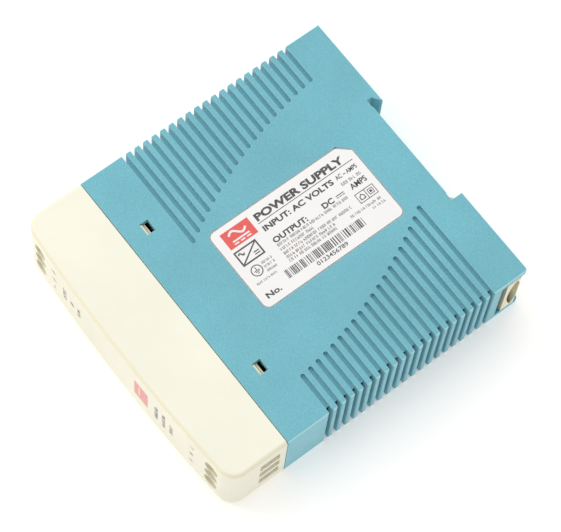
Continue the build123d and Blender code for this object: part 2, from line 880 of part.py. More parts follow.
def make_light_pipe():
    """Clear rod that carries the lamp's light to the front face."""
    radius = light_pipe_diameter / 2
    top = front + front_sag(light_pipe_position) + light_pipe_recess
    base = seam + terminal_board_gap - lamp_base - lamp_lens - lamp_gap
    stem = rod("y", radius, (light_pipe_position, top, middle), base - top)
    dome = stem.edges().filter_by(GeomType.CIRCLE).sort_by(Axis.Y)[0]
    stem = fillet(dome, light_pipe_dome)
    collar_y = front + front_sag(light_pipe_position) + cover_wall + fit_gap
    collar_radius = radius + light_pipe_collar
    return stem + rod("y", collar_radius, (light_pipe_position, collar_y, middle), light_pipe_collar_length)


# ================================================================ transformer
transformer_y = seam + transformer_inset
former_base = board_top + former_lift
former_middle = former_base + former_height / 2
former_front = transformer_y - core_depth / 2 + core_yoke + former_gap
former_rear = transformer_y + core_depth / 2 - core_yoke - former_gap


def centred(half_x, y0, y1, half_z):
    """A block round the transformer's axis."""
    x = transformer_x
    z = former_middle
    return block(x - half_x, x + half_x, y0, y1, z - half_z, z + half_z)


def make_transformer_core():
    """Two E-shaped ferrite halves that close round the winding."""
    y0 = transformer_y - core_depth / 2
    y1 = transformer_y + core_depth / 2
    half_thick = core_thick / 2
    shell = centred(core_length / 2, y0, y1, half_thick)
    room = centred(core_length / 2 - core_limb, y0 + core_yoke, y1 - core_yoke, half_thick + 1)
    return shell - room + centred(core_limb, y0 + 1, y1 - 1, half_thick)


def make_transformer_bobbin():
    """Plastic former: two flanges, a sleeve and pin rails with pins."""
    half = former_width / 2
    inside = core_limb + former_gap
    half_sleeve = core_limb + former_gap + former_sleeve
    sleeve_height = core_thick / 2 + former_gap + former_sleeve
    body = centred(half_sleeve, former_front, former_rear, sleeve_height)
    for y in (former_front, former_rear - former_flange):
        body += centred(half, y, y + former_flange, former_height / 2)
    first_pin = transformer_x - former_pin_pitch * (former_pins - 1) / 2
    for sign, edge in ((-1, former_front), (1, former_rear)):
        near = edge - sign * former_flange
        far = edge + sign * former_rail
        rail_z = (former_base - former_rail / 4, former_base + former_rail * 2 / 3)
        body += block(transformer_x - half, transformer_x + half, near, far, *rail_z)
        for k in range(former_pins):
            body += lead(first_pin + k * former_pin_pitch, (near + far) / 2, half_lead, former_base)
    return body - centred(inside, former_front - 3, former_rear + 3, core_thick / 2 + former_gap)


def make_transformer_winding():
    """Copper layers under yellow tape, filling the former between its flanges."""
    y0 = former_front + former_flange + winding_gap
    y1 = former_rear - former_flange - winding_gap
    pack = centred(winding_width / 2, y0, y1, winding_height / 2)
    pack = fillet(pack.edges().filter_by(Axis.Y), winding_round)
    around = former_gap + former_sleeve + winding_gap
    return pack - centred(core_limb + around, y0 - 1, y1 + 1, core_thick / 2 + around)


# ================================================================ parts that stand on the board
def can_with_groove(axis, start, diameter, length):
    """An aluminium can with round ends and a groove rolled in near its foot."""
    can = rod(axis, diameter / 2, start, length)
    can = fillet(can.edges().filter_by(GeomType.CIRCLE), diameter * 0.06)
    groove = Torus(diameter / 2 + diameter * 0.03, diameter * 0.06)
    x, y, z = start
    if axis == "z":
        return can - Pos(x, y, z + diameter * 0.22) * groove
    return can - Pos(x, y + diameter * 0.18, z) * Rot(90, 0, 0) * groove


def make_bulk_capacitor():
    """Input reservoir capacitor, lying down with its leads bent to the board."""
    x = half_height - end_wall - board_end_gap - bulk_diameter / 2 - 1.7
    y = seam + bulk_inset
    z = board_top + foot_gap + bulk_diameter / 2
    body = can_with_groove("y", (x, y, z), bulk_diameter, bulk_length)
    bend_y = y - 2 * lead_side
    for side in (-1, 1):
        lead_x = x + side * bulk_diameter / 5
        across = (lead_x - half_lead, lead_x + half_lead)
        body += block(*across, bend_y - half_lead, y + lead_side, z - half_lead, z + half_lead)
        body += lead(lead_x, bend_y, half_lead, z + half_lead)
    return body


def make_output_capacitor(index):
    x = -half_height + end_wall + output_row + index * output_can_pitch
    y = seam + output_can_inset
    start = (x, y, board_top + foot_gap)
    can = can_with_groove("z", start, output_can_diameter, output_can_length)
    spread = output_can_diameter / 5
    return can + [lead(x + side * spread, y, half_lead, board_top + foot_gap + 0.3) for side in (-1, 1)]


def choke_centre():
    """The middle of the input filter's choke."""
    level = board_top + choke_lift + choke_coil_diameter / 2 + 0.6
    return half_height - end_wall - choke_row, seam + choke_inset, level


def make_choke_core():
    """Square ferrite frame of the input filter choke."""
    x, y, z = choke_centre()
    half_x = choke_length / 2
    half_y = choke_depth / 2
    half_z = choke_thick / 2
    ring = block(x - half_x, x + half_x, y - half_y, y + half_y, z - half_z, z + half_z)
    inner_x = half_x - choke_limb
    inner_y = half_y - choke_limb
    return ring - block(x - inner_x, x + inner_x, y - inner_y, y + inner_y, z - half_z - 1, z + half_z + 1)


def make_choke_windings():
    """Two wire coils, one on each leg of the choke's frame."""
    x, y, z = choke_centre()
    radius = choke_coil_diameter / 2
    half_long = choke_coil_length / 2
    half_bore_y = choke_limb / 2 + choke_air
    half_bore_z = choke_thick / 2 + choke_air
    coils = []
    for side in (-1, 1):
        leg_y = y + side * (choke_depth - choke_limb) / 2
        coil = rod("x", radius, (x - half_long, leg_y, z), choke_coil_length)
        across = (x - half_long - 1, x + half_long + 1)
        parting = block(*across, y - choke_parting / 2, y + choke_parting / 2, z - radius, z + radius)
        bore_z = (z - half_bore_z, z + half_bore_z)
        bore = block(*across, leg_y - half_bore_y, leg_y + half_bore_y, *bore_z)
        body = (coil - parting - bore).solids().sort_by(SortBy.VOLUME)[-1]
        tail_y = leg_y + side * radius / 2
        tail = lead(x - half_long + lead_side, tail_y, half_lead, z - half_bore_z - lead_side)
        coils.append((body + tail).solids()[0])
    return Compound(children=coils)


def radial_disc(x, y, diameter, thickness):
    """A disc-shaped part that stands on two leads."""
    z = board_top + disc_lift + diameter / 2
    disc = rod("y", diameter / 2, (x, y - thickness / 2, z), thickness)
    disc = fillet(disc.edges().filter_by(GeomType.CIRCLE), thickness * 0.3)
    spread = diameter * 0.28
    for side in (-1, 1):
        disc += lead(x + side * spread, y, half_lead, z - spread)
    return disc


def make_fuse():
    x = half_height - end_wall - fuse_row
    y = seam + fuse_inset
    body = rod("z", fuse_diameter / 2, (x, y, board_top + foot_gap), fuse_height)
    body = fillet(body.edges().filter_by(GeomType.CIRCLE).sort_by(Axis.Z)[-1], fuse_diameter / 10)
    leads = []
    for side in (-1, 1):
        leads.append(lead(x + side * fuse_lead_pitch / 2, y, half_lead, board_top + 2 * foot_gap))
    return body + leads


def make_x_capacitor():
    x = half_height - end_wall - film_can_row
    y = seam + film_can_inset
    half_x = film_can_width / 2
    half_y = film_can_length / 2
    low = board_top + foot_gap
    body = block(x - half_x, x + half_x, y - half_y, y + half_y, low, low + film_can_height)
    body = fillet(body.edges().filter_by(Axis.Z), film_can_width / 12)
    leads = []
    for side in (-1, 1):
        leads.append(lead(x, y + side * film_can_lead_pitch / 2, half_lead, low + foot_gap))
    return body + leads


def dual_in_line(x, y, length, width, height, pins):
    """A moulded chip with bent legs on its two long sides."""
    base = board_top + foot_gap
    body = block(x - length / 2, x + length / 2, y - width / 2, y + width / 2, base, base + height)
    body = chamfer(body.faces().sort_by(Axis.Z)[-1].edges(), 0.3)
    pitch = length / pins
    half = chip_lead / 2
    level = base + height / 2
    for k in range(pins):
        leg_x = x - length / 2 + pitch * (k + 0.5)
        for side in (-1, 1):
            outer = y + side * (width / 2 + 0.7)
            body += block(leg_x - half, leg_x + half, y, outer, level - 0.15, level + 0.15)
            body += lead(leg_x, outer - side * half, half, level + 0.15)
    return body


# ================================================================ power devices
def make_heat_spreader(x, y):
    """An aluminium plate with two feet in the board and a hole for the screw."""
    half = spreader_thickness / 2
    low = board_top + foot_gap - 0.1
    plate = block(x - half, x + half, y, y + spreader_length, low, low + spreader_height)
    for place in (y + spreader_foot, y + spreader_length - spreader_foot):
        plate += lead(x, place, half, board_top + 1)
    screw_y = y + package_place + package_screw
    return plate - rod("x", 1.6, (x - 2, screw_y, board_top + package_height), 4)


def make_power_package(x, plate_y, side):
    """A tab-mounted power package lying against its heat spreader."""
    y = plate_y + package_place
    z = board_top + package_height
    half_wide = package_width / 2
    across = (z - half_wide, z + half_wide)
    face = x + side * (spreader_thickness / 2 + 0.05)
    tab = block(face, face + side * package_tab, y - 4.0, y + package_screw + 3.0, *across)
    tab -= rod("x", 1.8, (face - 3, y + package_screw, z), 6)
    body = tab + block(face, face + side * package_body, y - 4.0, y + 5.2, *across)
    leg_near = face + side * package_body / 2
    leg_far = leg_near + side * lead_side
    for k in (-1, 0, 1):
        leg_z = z + k * package_leg_pitch
        bend_y = y - 7.3 - 1.5 * k
        body += block(leg_near, leg_far, bend_y, y - 3.9, leg_z - 0.35, leg_z + 0.35)
        body += lead((leg_near + leg_far) / 2, bend_y, half_lead, leg_z + 0.35)
    return body


def make_spreader_screw(x, plate_y, side):
    """Cheese-head screw and nut that clamp a package to its plate."""
    y = plate_y + package_place + package_screw
    z = board_top + package_height
    head_height = 1.6
    nut_height = 1.8
    half_plate = spreader_thickness / 2
    face = x + side * (half_plate + 0.05 + package_tab)
    head = rod("x", 2.6, (face if side > 0 else face - head_height, y, z), head_height)
    shank = rod("x", 1.4, (min(face, x - side * 0.7), y, z), abs(face - x) + 0.7)
    nut = rod("x", 2.5, (x - half_plate - nut_height if side > 0 else x + half_plate, y, z), nut_height)
    return head + shank + nut


def inductor_place():
    """Foot of the output filter's drum inductor."""
    return -half_height + end_wall + output_row, seam + inductor_inset, board_top + foot_gap


def make_inductor_core():
    x, y, z = inductor_place()
    body = rod("z", inductor_waist / 2, (x, y, z), inductor_height)
    for level in (z, z + inductor_height - inductor_cheek):
        body += rod("z", inductor_flange / 2, (x, y, level), inductor_cheek)
    return body


def make_inductor_winding():
    x, y, z = inductor_place()
    low = z + inductor_cheek + foot_gap / 2
    high = z + inductor_height - inductor_cheek - foot_gap / 2
    coil = rod("z", inductor_flange / 2 - 0.3, (x, y, low), high - low)
    return coil - rod("z", inductor_waist / 2 + 0.1, (x, y, low - 1), high - low + 2)


def make_surface_parts():
    """Small chip resistors and capacitors soldered to the board."""
    parts = []
    for row in range(3):
        for column in range(6):
            x = -17.0 + column * 2.6
            y = seam + 5.2 + row * 2.4
            parts.append(block(x - 0.8, x + 0.8, y - 0.5, y + 0.5, board_top, board_top + 0.6).solids()[0])
    for column in range(4):
        x = -half_height + end_wall + 5.0 + column * 4.0
        y = seam + 66.0
        parts.append(block(x - 1.5, x + 1.5, y - 1.0, y + 1.0, board_top, board_top + 0.8).solids()[0])
    return Compound(children=parts)


# ================================================================ build everything
save(make_housing(), "housing")
save(make_front_cover(), "front_cover")
save(make_label(), "rating_label")
save(make_latch(), "din_latch")
save(make_spring(), "latch_spring")
save(make_terminal_board(), "terminal_board")
save(make_link_pins(), "board_link_pins")
save(make_sheet(), "insulation_sheet")
save(make_led(), "led")
save(make_light_pipe(), "light_pipe")

for end_name, end_sign in (("output", -1), ("input", 1)):
    save(make_terminal_block(end_sign), f"terminal_block_{end_name}")
    save(make_contacts(end_sign), f"{end_name}_contacts")
    for number, pole in enumerate(pole_offsets, start=1):
        save(make_screw(end_sign, middle + pole), f"{end_name}_screw_{number}")
        save(make_cage(end_sign, middle + pole), f"{end_name}_clamp_{number}")

save(make_transformer_core(), "transformer_core")
save(make_transformer_bobbin(), "transformer_bobbin")
save(make_transformer_winding(), "transformer_winding")
save(make_choke_core(), "choke_core")
save(make_choke_windings(), "choke_windings")
save(make_fuse(), "fuse")
end_inside = half_height - end_wall
save(radial_disc(end_inside - varistor_row, seam + fuse_inset, 9.0, 3.6), "varistor")
save(radial_disc(end_inside - thermistor_row, seam + 33.5, 8.0, 3.0), "thermistor")
save(make_x_capacitor(), "x_capacitor")
save(make_bulk_capacitor(), "bulk_capacitor")
save(dual_in_line(end_inside - 9.0, seam + 25.5, 8.4, 6.4, 3.4, 2), "bridge_rectifier")
save(dual_in_line(-16.0, seam + 36.0, 6.4, 5.0, 3.4, 2), "optocoupler")
save(dual_in_line(6.0, seam + 46.0, 5.0, 4.0, 1.5, 4), "controller_chip")
save(radial_disc(-6.0, seam + 36.5, 8.0, 3.0), "y_capacitor")

primary = (end_inside - primary_row, seam + primary_inset)
secondary = (-end_inside + secondary_row, seam + secondary_inset)
save(make_heat_spreader(*primary), "primary_heat_spreader")
save(make_power_package(*primary, -1), "switching_transistor")
save(make_spreader_screw(*primary, -1), "transistor_screw")
save(make_heat_spreader(*secondary), "output_heat_spreader")
save(make_power_package(*secondary, 1), "output_rectifier")
save(make_spreader_screw(*secondary, 1), "rectifier_screw")

save(make_output_capacitor(0), "output_capacitor_1")
save(make_output_capacitor(1), "output_capacitor_2")
save(make_inductor_core(), "output_inductor_core")
save(make_inductor_winding(), "output_inductor_winding")
save(make_surface_parts(), "surface_parts")
save(make_main_board(), "main_board")
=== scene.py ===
# %% [markdown]
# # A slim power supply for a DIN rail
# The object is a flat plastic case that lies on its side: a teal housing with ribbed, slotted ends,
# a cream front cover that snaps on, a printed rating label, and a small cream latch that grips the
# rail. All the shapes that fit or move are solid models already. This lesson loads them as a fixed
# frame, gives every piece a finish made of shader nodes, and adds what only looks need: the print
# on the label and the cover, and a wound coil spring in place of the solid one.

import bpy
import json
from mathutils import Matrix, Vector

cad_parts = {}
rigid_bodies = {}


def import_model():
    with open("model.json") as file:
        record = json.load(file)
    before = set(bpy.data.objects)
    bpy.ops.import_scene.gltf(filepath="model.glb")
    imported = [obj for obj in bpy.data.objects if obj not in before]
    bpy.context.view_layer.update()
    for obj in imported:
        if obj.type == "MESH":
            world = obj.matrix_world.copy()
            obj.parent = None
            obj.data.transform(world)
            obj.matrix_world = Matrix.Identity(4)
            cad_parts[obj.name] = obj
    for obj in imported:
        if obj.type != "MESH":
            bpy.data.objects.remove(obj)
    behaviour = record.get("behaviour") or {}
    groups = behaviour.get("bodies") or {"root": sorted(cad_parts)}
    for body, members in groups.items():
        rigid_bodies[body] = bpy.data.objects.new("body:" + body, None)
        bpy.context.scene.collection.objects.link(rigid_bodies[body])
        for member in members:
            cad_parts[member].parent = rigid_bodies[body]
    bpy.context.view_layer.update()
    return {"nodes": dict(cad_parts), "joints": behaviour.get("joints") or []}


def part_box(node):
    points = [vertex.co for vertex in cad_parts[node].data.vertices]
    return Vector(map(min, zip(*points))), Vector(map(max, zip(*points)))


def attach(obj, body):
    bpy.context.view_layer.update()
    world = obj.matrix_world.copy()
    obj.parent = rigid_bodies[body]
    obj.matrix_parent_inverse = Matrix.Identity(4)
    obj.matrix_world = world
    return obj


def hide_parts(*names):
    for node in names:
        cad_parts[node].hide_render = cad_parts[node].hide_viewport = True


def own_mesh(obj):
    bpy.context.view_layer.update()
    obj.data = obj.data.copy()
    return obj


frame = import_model()
nodes = frame["nodes"]
print("pieces in the frame:", len(nodes))

# %% [markdown]
# The faces that carry print, and the spring's ends, are found from the boxes of the solid pieces,
# in metres, so the print stays on its face if the case changes. A short name for one millimetre
# keeps the numbers readable.

# %% Places on the case
import json
import math
import random

import bmesh
import bpy
from mathutils import Matrix, Vector
from mathutils.geometry import convex_hull_2d

mm = 0.001
case_low, case_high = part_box("housing")
label_low, label_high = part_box("rating_label")
front_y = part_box("front_cover")[0].y
label_top = label_high.z
half_height = case_high.x
middle_z = (case_low.z + case_high.z) / 2
print("case, mm:", [round(v / mm, 2) for v in case_high - case_low])
print("label face at height, mm:", round(label_top / mm, 3))

# %% [markdown]
# ## A workbench for finishes
# A finish is a small tree of nodes around one Principled shader. The pieces are a few millimetres
# to a few centimetres long, so a texture is measured in object space, where one unit is a metre: a
# noise scale of 1000 gives features of about a millimetre. Each helper adds a node or a few and
# links them, so that a finish reads as a recipe.


# %% Helpers for shader nodes
class Finish:
    """One material with its shader, and short ways to add nodes to it."""

    def __init__(self, name, roughness=0.5, metallic=0.0, specular=0.5, coat=0.0):
        self.material = bpy.data.materials.new(name)
        self.material.use_nodes = True
        self.nodes = self.material.node_tree.nodes
        self.links = self.material.node_tree.links
        self.shader = self.nodes["Principled BSDF"]
        self.shader.inputs["Roughness"].default_value = roughness
        self.shader.inputs["Metallic"].default_value = metallic
        self.shader.inputs["Specular IOR Level"].default_value = specular
        self.shader.inputs["Coat Weight"].default_value = coat
        self.place = self.nodes.new("ShaderNodeTexCoord").outputs["Object"]

    def join(self, output, target):
        self.links.new(output, target)

    def noise(self, scale, detail=3.0, stretch=(1, 1, 1)):
        """Cloudy grey values, with a grain that can be drawn out along an axis."""
        mapping = self.nodes.new("ShaderNodeMapping")
        mapping.inputs["Scale"].default_value = stretch
        self.join(self.place, mapping.inputs["Vector"])
        noise = self.nodes.new("ShaderNodeTexNoise")
        noise.inputs["Scale"].default_value = scale
        noise.inputs["Detail"].default_value = detail
        self.join(mapping.outputs["Vector"], noise.inputs["Vector"])
        return noise.outputs["Fac"]

    def cells(self, scale):
        """Rounded pits and grains."""
        voronoi = self.nodes.new("ShaderNodeTexVoronoi")
        voronoi.inputs["Scale"].default_value = scale
        self.join(self.place, voronoi.inputs["Vector"])
        return voronoi.outputs["Distance"]

    def crevice(self, reach):
        """Near 1 on open faces and falling towards 0 in holes and narrow gaps."""
        cover = self.nodes.new("ShaderNodeAmbientOcclusion")
        cover.samples = 8
        cover.inputs["Distance"].default_value = reach
        return cover.outputs["AO"]

    def rounded_edge(self, width):
        """Near 1 where a level face rounds over into an upright one, and 0 on both."""
        shape = self.nodes.new("ShaderNodeBevel")
        shape.samples = 6
        shape.inputs["Radius"].default_value = width
        apart = self.nodes.new("ShaderNodeSeparateXYZ")
        self.join(shape.outputs["Normal"], apart.inputs["Vector"])
        # The normal's upward part is near 1 on a level face and near 0 on an upright one. Doubled
        # and centred, its size is least where the edge has turned about half way.
        upward = self.calculate("ABSOLUTE", apart.outputs["Z"])
        centred = self.calculate("MULTIPLY_ADD", upward, 2.0, -1.1)
        flatness = self.calculate("ABSOLUTE", centred)
        return self.spread(flatness, 0.0, 1.0, start=0.85, stop=0.45)

    def calculate(self, operation, value, *numbers):
        """One step of arithmetic on a value."""
        step = self.nodes.new("ShaderNodeMath")
        step.operation = operation
        self.join(value, step.inputs[0])
        for socket, number in zip(step.inputs[1:], numbers):
            socket.default_value = number
        return step.outputs[0]

    def spread(self, value, low, high, start=0.3, stop=0.7):
        """Stretches the part of a value from start to stop onto the range from low to high."""
        ranged = self.nodes.new("ShaderNodeMapRange")
        ranged.inputs["From Min"].default_value = start
        ranged.inputs["From Max"].default_value = stop
        ranged.inputs["To Min"].default_value = low
        ranged.inputs["To Max"].default_value = high
        self.join(value, ranged.inputs["Value"])
        return ranged.outputs["Result"]

    def blend(self, value, first, second):
        """A colour between two others, picked by a value."""
        mix = self.nodes.new("ShaderNodeMix")
        mix.data_type = "RGBA"
        self.join(value, mix.inputs["Factor"])
        for colour, socket in ((first, mix.inputs["A"]), (second, mix.inputs["B"])):
            if isinstance(colour, bpy.types.NodeSocket):
                self.join(colour, socket)
            else:
                socket.default_value = (*colour, 1)
        return mix.outputs["Result"]

    def colour(self, output):
        self.join(output, self.shader.inputs["Base Color"])

    def roughness(self, output):
        self.join(output, self.shader.inputs["Roughness"])

    def relief(self, height, depth, strength=1.0, edge=0.0):
        """Raises and lowers the surface, with softly rounded edges if edge is given."""
        bump = self.nodes.new("ShaderNodeBump")
        bump.inputs["Strength"].default_value = strength
        bump.inputs["Distance"].default_value = depth
        self.join(height, bump.inputs["Height"])
        if edge:
            bevel = self.nodes.new("ShaderNodeBevel")
            bevel.samples = 4
            bevel.inputs["Radius"].default_value = edge
            self.join(bevel.outputs["Normal"], bump.inputs["Normal"])
        self.join(bump.outputs["Normal"], self.shader.inputs["Normal"])


def shade(colour, factor):
    """A colour made darker or lighter."""
    return tuple(min(1.0, part * factor) for part in colour)


print("finish helpers:", [name for name in vars(Finish) if not name.startswith("_")])

# %% [markdown]
# ## Moulded plastic
# The housing and the cover come out of spark-eroded moulds, which leave a fine matt grain of about
# a tenth of a millimetre. Pigment is never quite even, so the colour drifts by a few percent over
# centimetres. A grain that is only painted looks flat under a soft light, so it goes into the bump
# as well, and the edges are softened by a fraction of a millimetre, as a mould leaves them.
# Painted light and shade go on as well: a band along the rounded edges is painted paler as a
# highlight or darker as shade, and narrow slots and gaps get painted shade. A matt grain seen at a
# glancing angle turns pale, and a little sheen gives that.


# %% Moulded plastic
cloud_scale = 38
gloss_scale = 240
grain_depth = 0.012 * mm
sheen_tint = (0.62, 0.93, 1.0)


def moulded_plastic(
    name, colour, roughness=0.5, grain=0.1 * mm, edge=0.18 * mm, drift=0.05, fleck_depth=0.07,
    painted_crevice_shade=None, reach=3.0 * mm, painted_edge_shading=None, sheen=0.0,
):
    finish = Finish(name, specular=0.45)
    finish.shader.inputs["Sheen Weight"].default_value = sheen
    finish.shader.inputs["Sheen Roughness"].default_value = 0.5
    finish.shader.inputs["Sheen Tint"].default_value = (*sheen_tint, 1)
    cloud = finish.spread(finish.noise(cloud_scale, 2.0), 0.0, 1.0)
    fleck = finish.spread(finish.noise(1 / grain * 0.35, 2.0), 0.0, 1.0)
    base = finish.blend(cloud, shade(colour, 1 - drift), shade(colour, 1 + drift))
    speckled = finish.nodes.new("ShaderNodeMix")
    speckled.data_type = "RGBA"
    speckled.blend_type = "MULTIPLY"
    speckled.inputs["Factor"].default_value = 1.0
    grey = finish.blend(fleck, (1 - fleck_depth,) * 3, (1.0, 1.0, 1.0))
    finish.join(base, speckled.inputs["A"])
    finish.join(grey, speckled.inputs["B"])
    surface = speckled.outputs["Result"]
    # Painted shade: in holes, slots and narrow gaps the colour turns towards the crevice colour.
    if painted_crevice_shade:
        surface = finish.blend(finish.crevice(reach), painted_crevice_shade, surface)
    # Painted light and shade: a band along the rounded edges takes the edge colour, paler as a highlight or
    # darker as shade.
    if painted_edge_shading:
        surface = finish.blend(finish.rounded_edge(edge * 1.6), surface, painted_edge_shading)
    finish.colour(surface)
    finish.roughness(finish.spread(finish.noise(gloss_scale, 4.0), roughness - 0.06, roughness + 0.06))
    finish.relief(finish.noise(1 / grain * 0.5, 3.0), grain_depth, 0.55, edge)
    return finish.material


print("size of the colour's clouds, mm:", round(1 / cloud_scale / mm))

# %% [markdown]
# The housing is teal, with painted shade in its grooves and a painted highlight along its edges.
# The cover is a warm cream, with painted warm shade in its windows and gaps and painted shade along
# its edges, and the latch is the same cream with painted shade in its slot for a driver. The
# terminals, seen through the cover's windows, are a yellower cream. One recipe makes all four, as
# one way of moulding makes all four pieces.

# %% Mix the plastics of the case
teal = (0.172, 0.515, 0.610)
cream = (0.900, 0.880, 0.740)
# Painted highlight for the housing's rounded edges.
edge_highlight_teal = (0.42, 0.76, 0.82)
# Painted shade for the housing's grooves and gaps.
groove_shade_teal = (0.075, 0.33, 0.42)
housing_plastic = moulded_plastic(
    "housing_teal", teal, roughness=0.52, drift=0.06, fleck_depth=0.24,
    painted_crevice_shade=groove_shade_teal, reach=1.8 * mm, painted_edge_shading=edge_highlight_teal, sheen=0.5,
)
# Painted warm shade for the cover's windows and gaps.
recess_shade_yellow = (1.0, 0.92, 0.60)
# Painted shade for the cover's rounded edges.
edge_shade_cream = (0.88, 0.82, 0.60)
cover_plastic = moulded_plastic(
    "cover_cream", cream, edge=0.3 * mm, drift=0.03, fleck_depth=0.03, painted_crevice_shade=recess_shade_yellow, painted_edge_shading=edge_shade_cream
)
# Painted shade for the driver slot in the latch.
painted_slot_shade = (0.20, 0.22, 0.17)
latch_plastic = moulded_plastic("latch_cream", (0.90, 0.84, 0.62), roughness=0.4, drift=0.08, painted_crevice_shade=painted_slot_shade)
terminal_plastic = moulded_plastic("terminal_cream", (0.95, 0.90, 0.62), roughness=0.4)
print("moulded plastics:", housing_plastic.name, cover_plastic.name, latch_plastic.name)

# %% [markdown]
# ## Label film and ink
# The rating label is a white polyester film. Film is smoother than the case, with a faint orange
# peel from its glue. Ink lies on it as a separate thin piece, so its edge is sharp however close
# the camera comes, and its density is slightly uneven, as screen print is.


# %% Film and inks
def film(name, colour, roughness):
    finish = Finish(name, specular=0.5, coat=0.15)
    finish.shader.inputs["Coat Roughness"].default_value = 0.25
    cloud = finish.spread(finish.noise(60, 2.0), 0.0, 1.0)
    finish.colour(finish.blend(cloud, shade(colour, 0.975), colour))
    finish.roughness(finish.spread(finish.noise(300, 3.0), roughness - 0.05, roughness + 0.05))
    finish.relief(finish.noise(420, 2.0), 0.01 * mm, 0.35)
    return finish.material


def ink(name, colour, worn=0.12):
    finish = Finish(name, roughness=0.45, specular=0.4)
    density = finish.spread(finish.noise(2600, 4.0), 0.0, 1.0)
    faded = tuple(part + (1 - part) * worn for part in colour)
    finish.colour(finish.blend(density, colour, faded))
    finish.roughness(finish.spread(finish.noise(900, 2.0), 0.38, 0.55))
    finish.relief(finish.noise(3000, 2.0), 0.004 * mm, 0.4)
    return finish.material


label_film = film("label_white_film", (0.88, 0.87, 0.86), 0.38)
label_ink = ink("label_black_ink", (0.020, 0.019, 0.022))
fine_ink = ink("label_brown_ink", (0.105, 0.075, 0.070), 0.16)
label_red = ink("label_red_ink", (0.78, 0.085, 0.075), 0.06)
label_white = ink("label_white_ink", (0.86, 0.85, 0.84), 0.02)
cover_ink = ink("cover_grey_ink", (0.085, 0.075, 0.085), 0.25)
cover_red = ink("cover_red_ink", (0.80, 0.30, 0.28), 0.15)
print("film and inks:", [kind.name for kind in (label_film, label_ink, fine_ink, label_red, cover_ink)])

# %% [markdown]
# ## Metals
# Screws and clamps are zinc-plated steel, the contact strips are tinned brass, and the spring is
# drawn wire. What tells them apart is the direction and size of their scratches: a turned screw
# has fine rings, a punched strip has a long grain, and plating clouds over in soft patches.


# %% Metals
def metal(name, colour, roughness, grain_scale=900, stretch=(1, 1, 1), patches=0.12, depth=0.008 * mm):
    finish = Finish(name, metallic=1.0)
    patch = finish.spread(finish.noise(170, 4.0), 0.0, 1.0)
    finish.colour(finish.blend(patch, shade(colour, 1 - patches), colour))
    grain = finish.noise(grain_scale, 4.0, stretch)
    finish.roughness(finish.spread(grain, roughness - 0.09, roughness + 0.12))
    finish.relief(grain, depth, 0.5, 0.08 * mm)
    return finish.material


zinc = metal("zinc_plated_steel", (0.80, 0.79, 0.74), 0.42, 1400)
tin = metal("tinned_brass", (0.74, 0.71, 0.62), 0.30, 700, (1, 6, 1))
spring_wire = metal("drawn_spring_wire", (0.52, 0.52, 0.53), 0.28, 2200, (0.2, 1, 1))
aluminium = metal("rolled_aluminium", (0.78, 0.79, 0.80), 0.40, 500, (1, 0.08, 1))
print("metals:", [kind.name for kind in (zinc, tin, spring_wire, aluminium)])

# %% [markdown]
# ## Circuit board and the parts on it
# The boards are glass laminate under green solder mask, which pools slightly over the copper, so
# tracks show as a paler green. The parts are potted, dipped, sleeved or sintered, and each of
# those leaves its own surface: sintered ferrite is dull and pitted, a dipped disc is wet-looking,
# and a shrink sleeve shows fine wrinkles around the can.


# %% Board and component finishes
def solder_mask(name):
    finish = Finish(name, specular=0.5, coat=0.4)
    finish.shader.inputs["Coat Roughness"].default_value = 0.15
    tracks = finish.nodes.new("ShaderNodeTexBrick")
    tracks.inputs["Scale"].default_value = 90
    tracks.inputs["Mortar Size"].default_value = 0.09
    finish.join(finish.place, tracks.inputs["Vector"])
    pale = finish.blend(tracks.outputs["Fac"], (0.045, 0.20, 0.085), (0.020, 0.11, 0.050))
    weave = finish.spread(finish.noise(700, 2.0), 0.0, 0.5)
    finish.colour(finish.blend(weave, pale, (0.10, 0.22, 0.09)))
    finish.roughness(finish.spread(finish.noise(300, 2.0), 0.28, 0.42))
    finish.relief(tracks.outputs["Fac"], 0.02 * mm, 0.5)
    return finish.material


board_mask = solder_mask("green_solder_mask")
print("board finish:", board_mask.name)

# %% [markdown]
# The parts on the board differ mostly in gloss and in the size of their ripples or pits, so three
# more recipes cover nearly all of them, and wound wire gets bands across its coil's axis.


# %% Finishes of the parts on the board
def dipped(name, colour, roughness=0.22, ripple=260, coat=0.5):
    """Resin dips, tape and sleeves: glossy, with slow ripples."""
    finish = Finish(name, specular=0.5, coat=coat)
    finish.shader.inputs["Coat Roughness"].default_value = 0.1
    cloud = finish.spread(finish.noise(140, 3.0), 0.0, 1.0)
    finish.colour(finish.blend(cloud, shade(colour, 0.88), shade(colour, 1.08)))
    finish.roughness(finish.spread(finish.noise(500, 3.0), roughness - 0.06, roughness + 0.08))
    finish.relief(finish.noise(ripple, 2.0), 0.05 * mm, 0.4)
    return finish.material


def sintered(name, colour, roughness=0.62):
    """Pressed and fired powder, with small pits."""
    finish = Finish(name, specular=0.35)
    pits = finish.cells(1600)
    powder = finish.spread(finish.noise(900, 4.0), 0.0, 1.0)
    finish.colour(finish.blend(powder, shade(colour, 0.7), shade(colour, 1.3)))
    finish.roughness(finish.spread(finish.noise(700, 3.0), roughness - 0.08, roughness + 0.08))
    finish.relief(pits, 0.03 * mm, 0.6, 0.1 * mm)
    return finish.material


def clear_plastic(name, colour):
    """Moulded acrylic or tinted lamp resin, with faint flow lines."""
    finish = Finish(name, roughness=0.12, specular=0.5)
    finish.shader.inputs["Transmission Weight"].default_value = 0.85
    finish.shader.inputs["IOR"].default_value = 1.49
    flow = finish.spread(finish.noise(400, 2.0, (1, 0.1, 1)), 0.0, 1.0)
    finish.colour(finish.blend(flow, shade(colour, 0.94), colour))
    finish.relief(finish.noise(500, 1.0, (1, 0.1, 1)), 0.01 * mm, 0.3)
    return finish.material


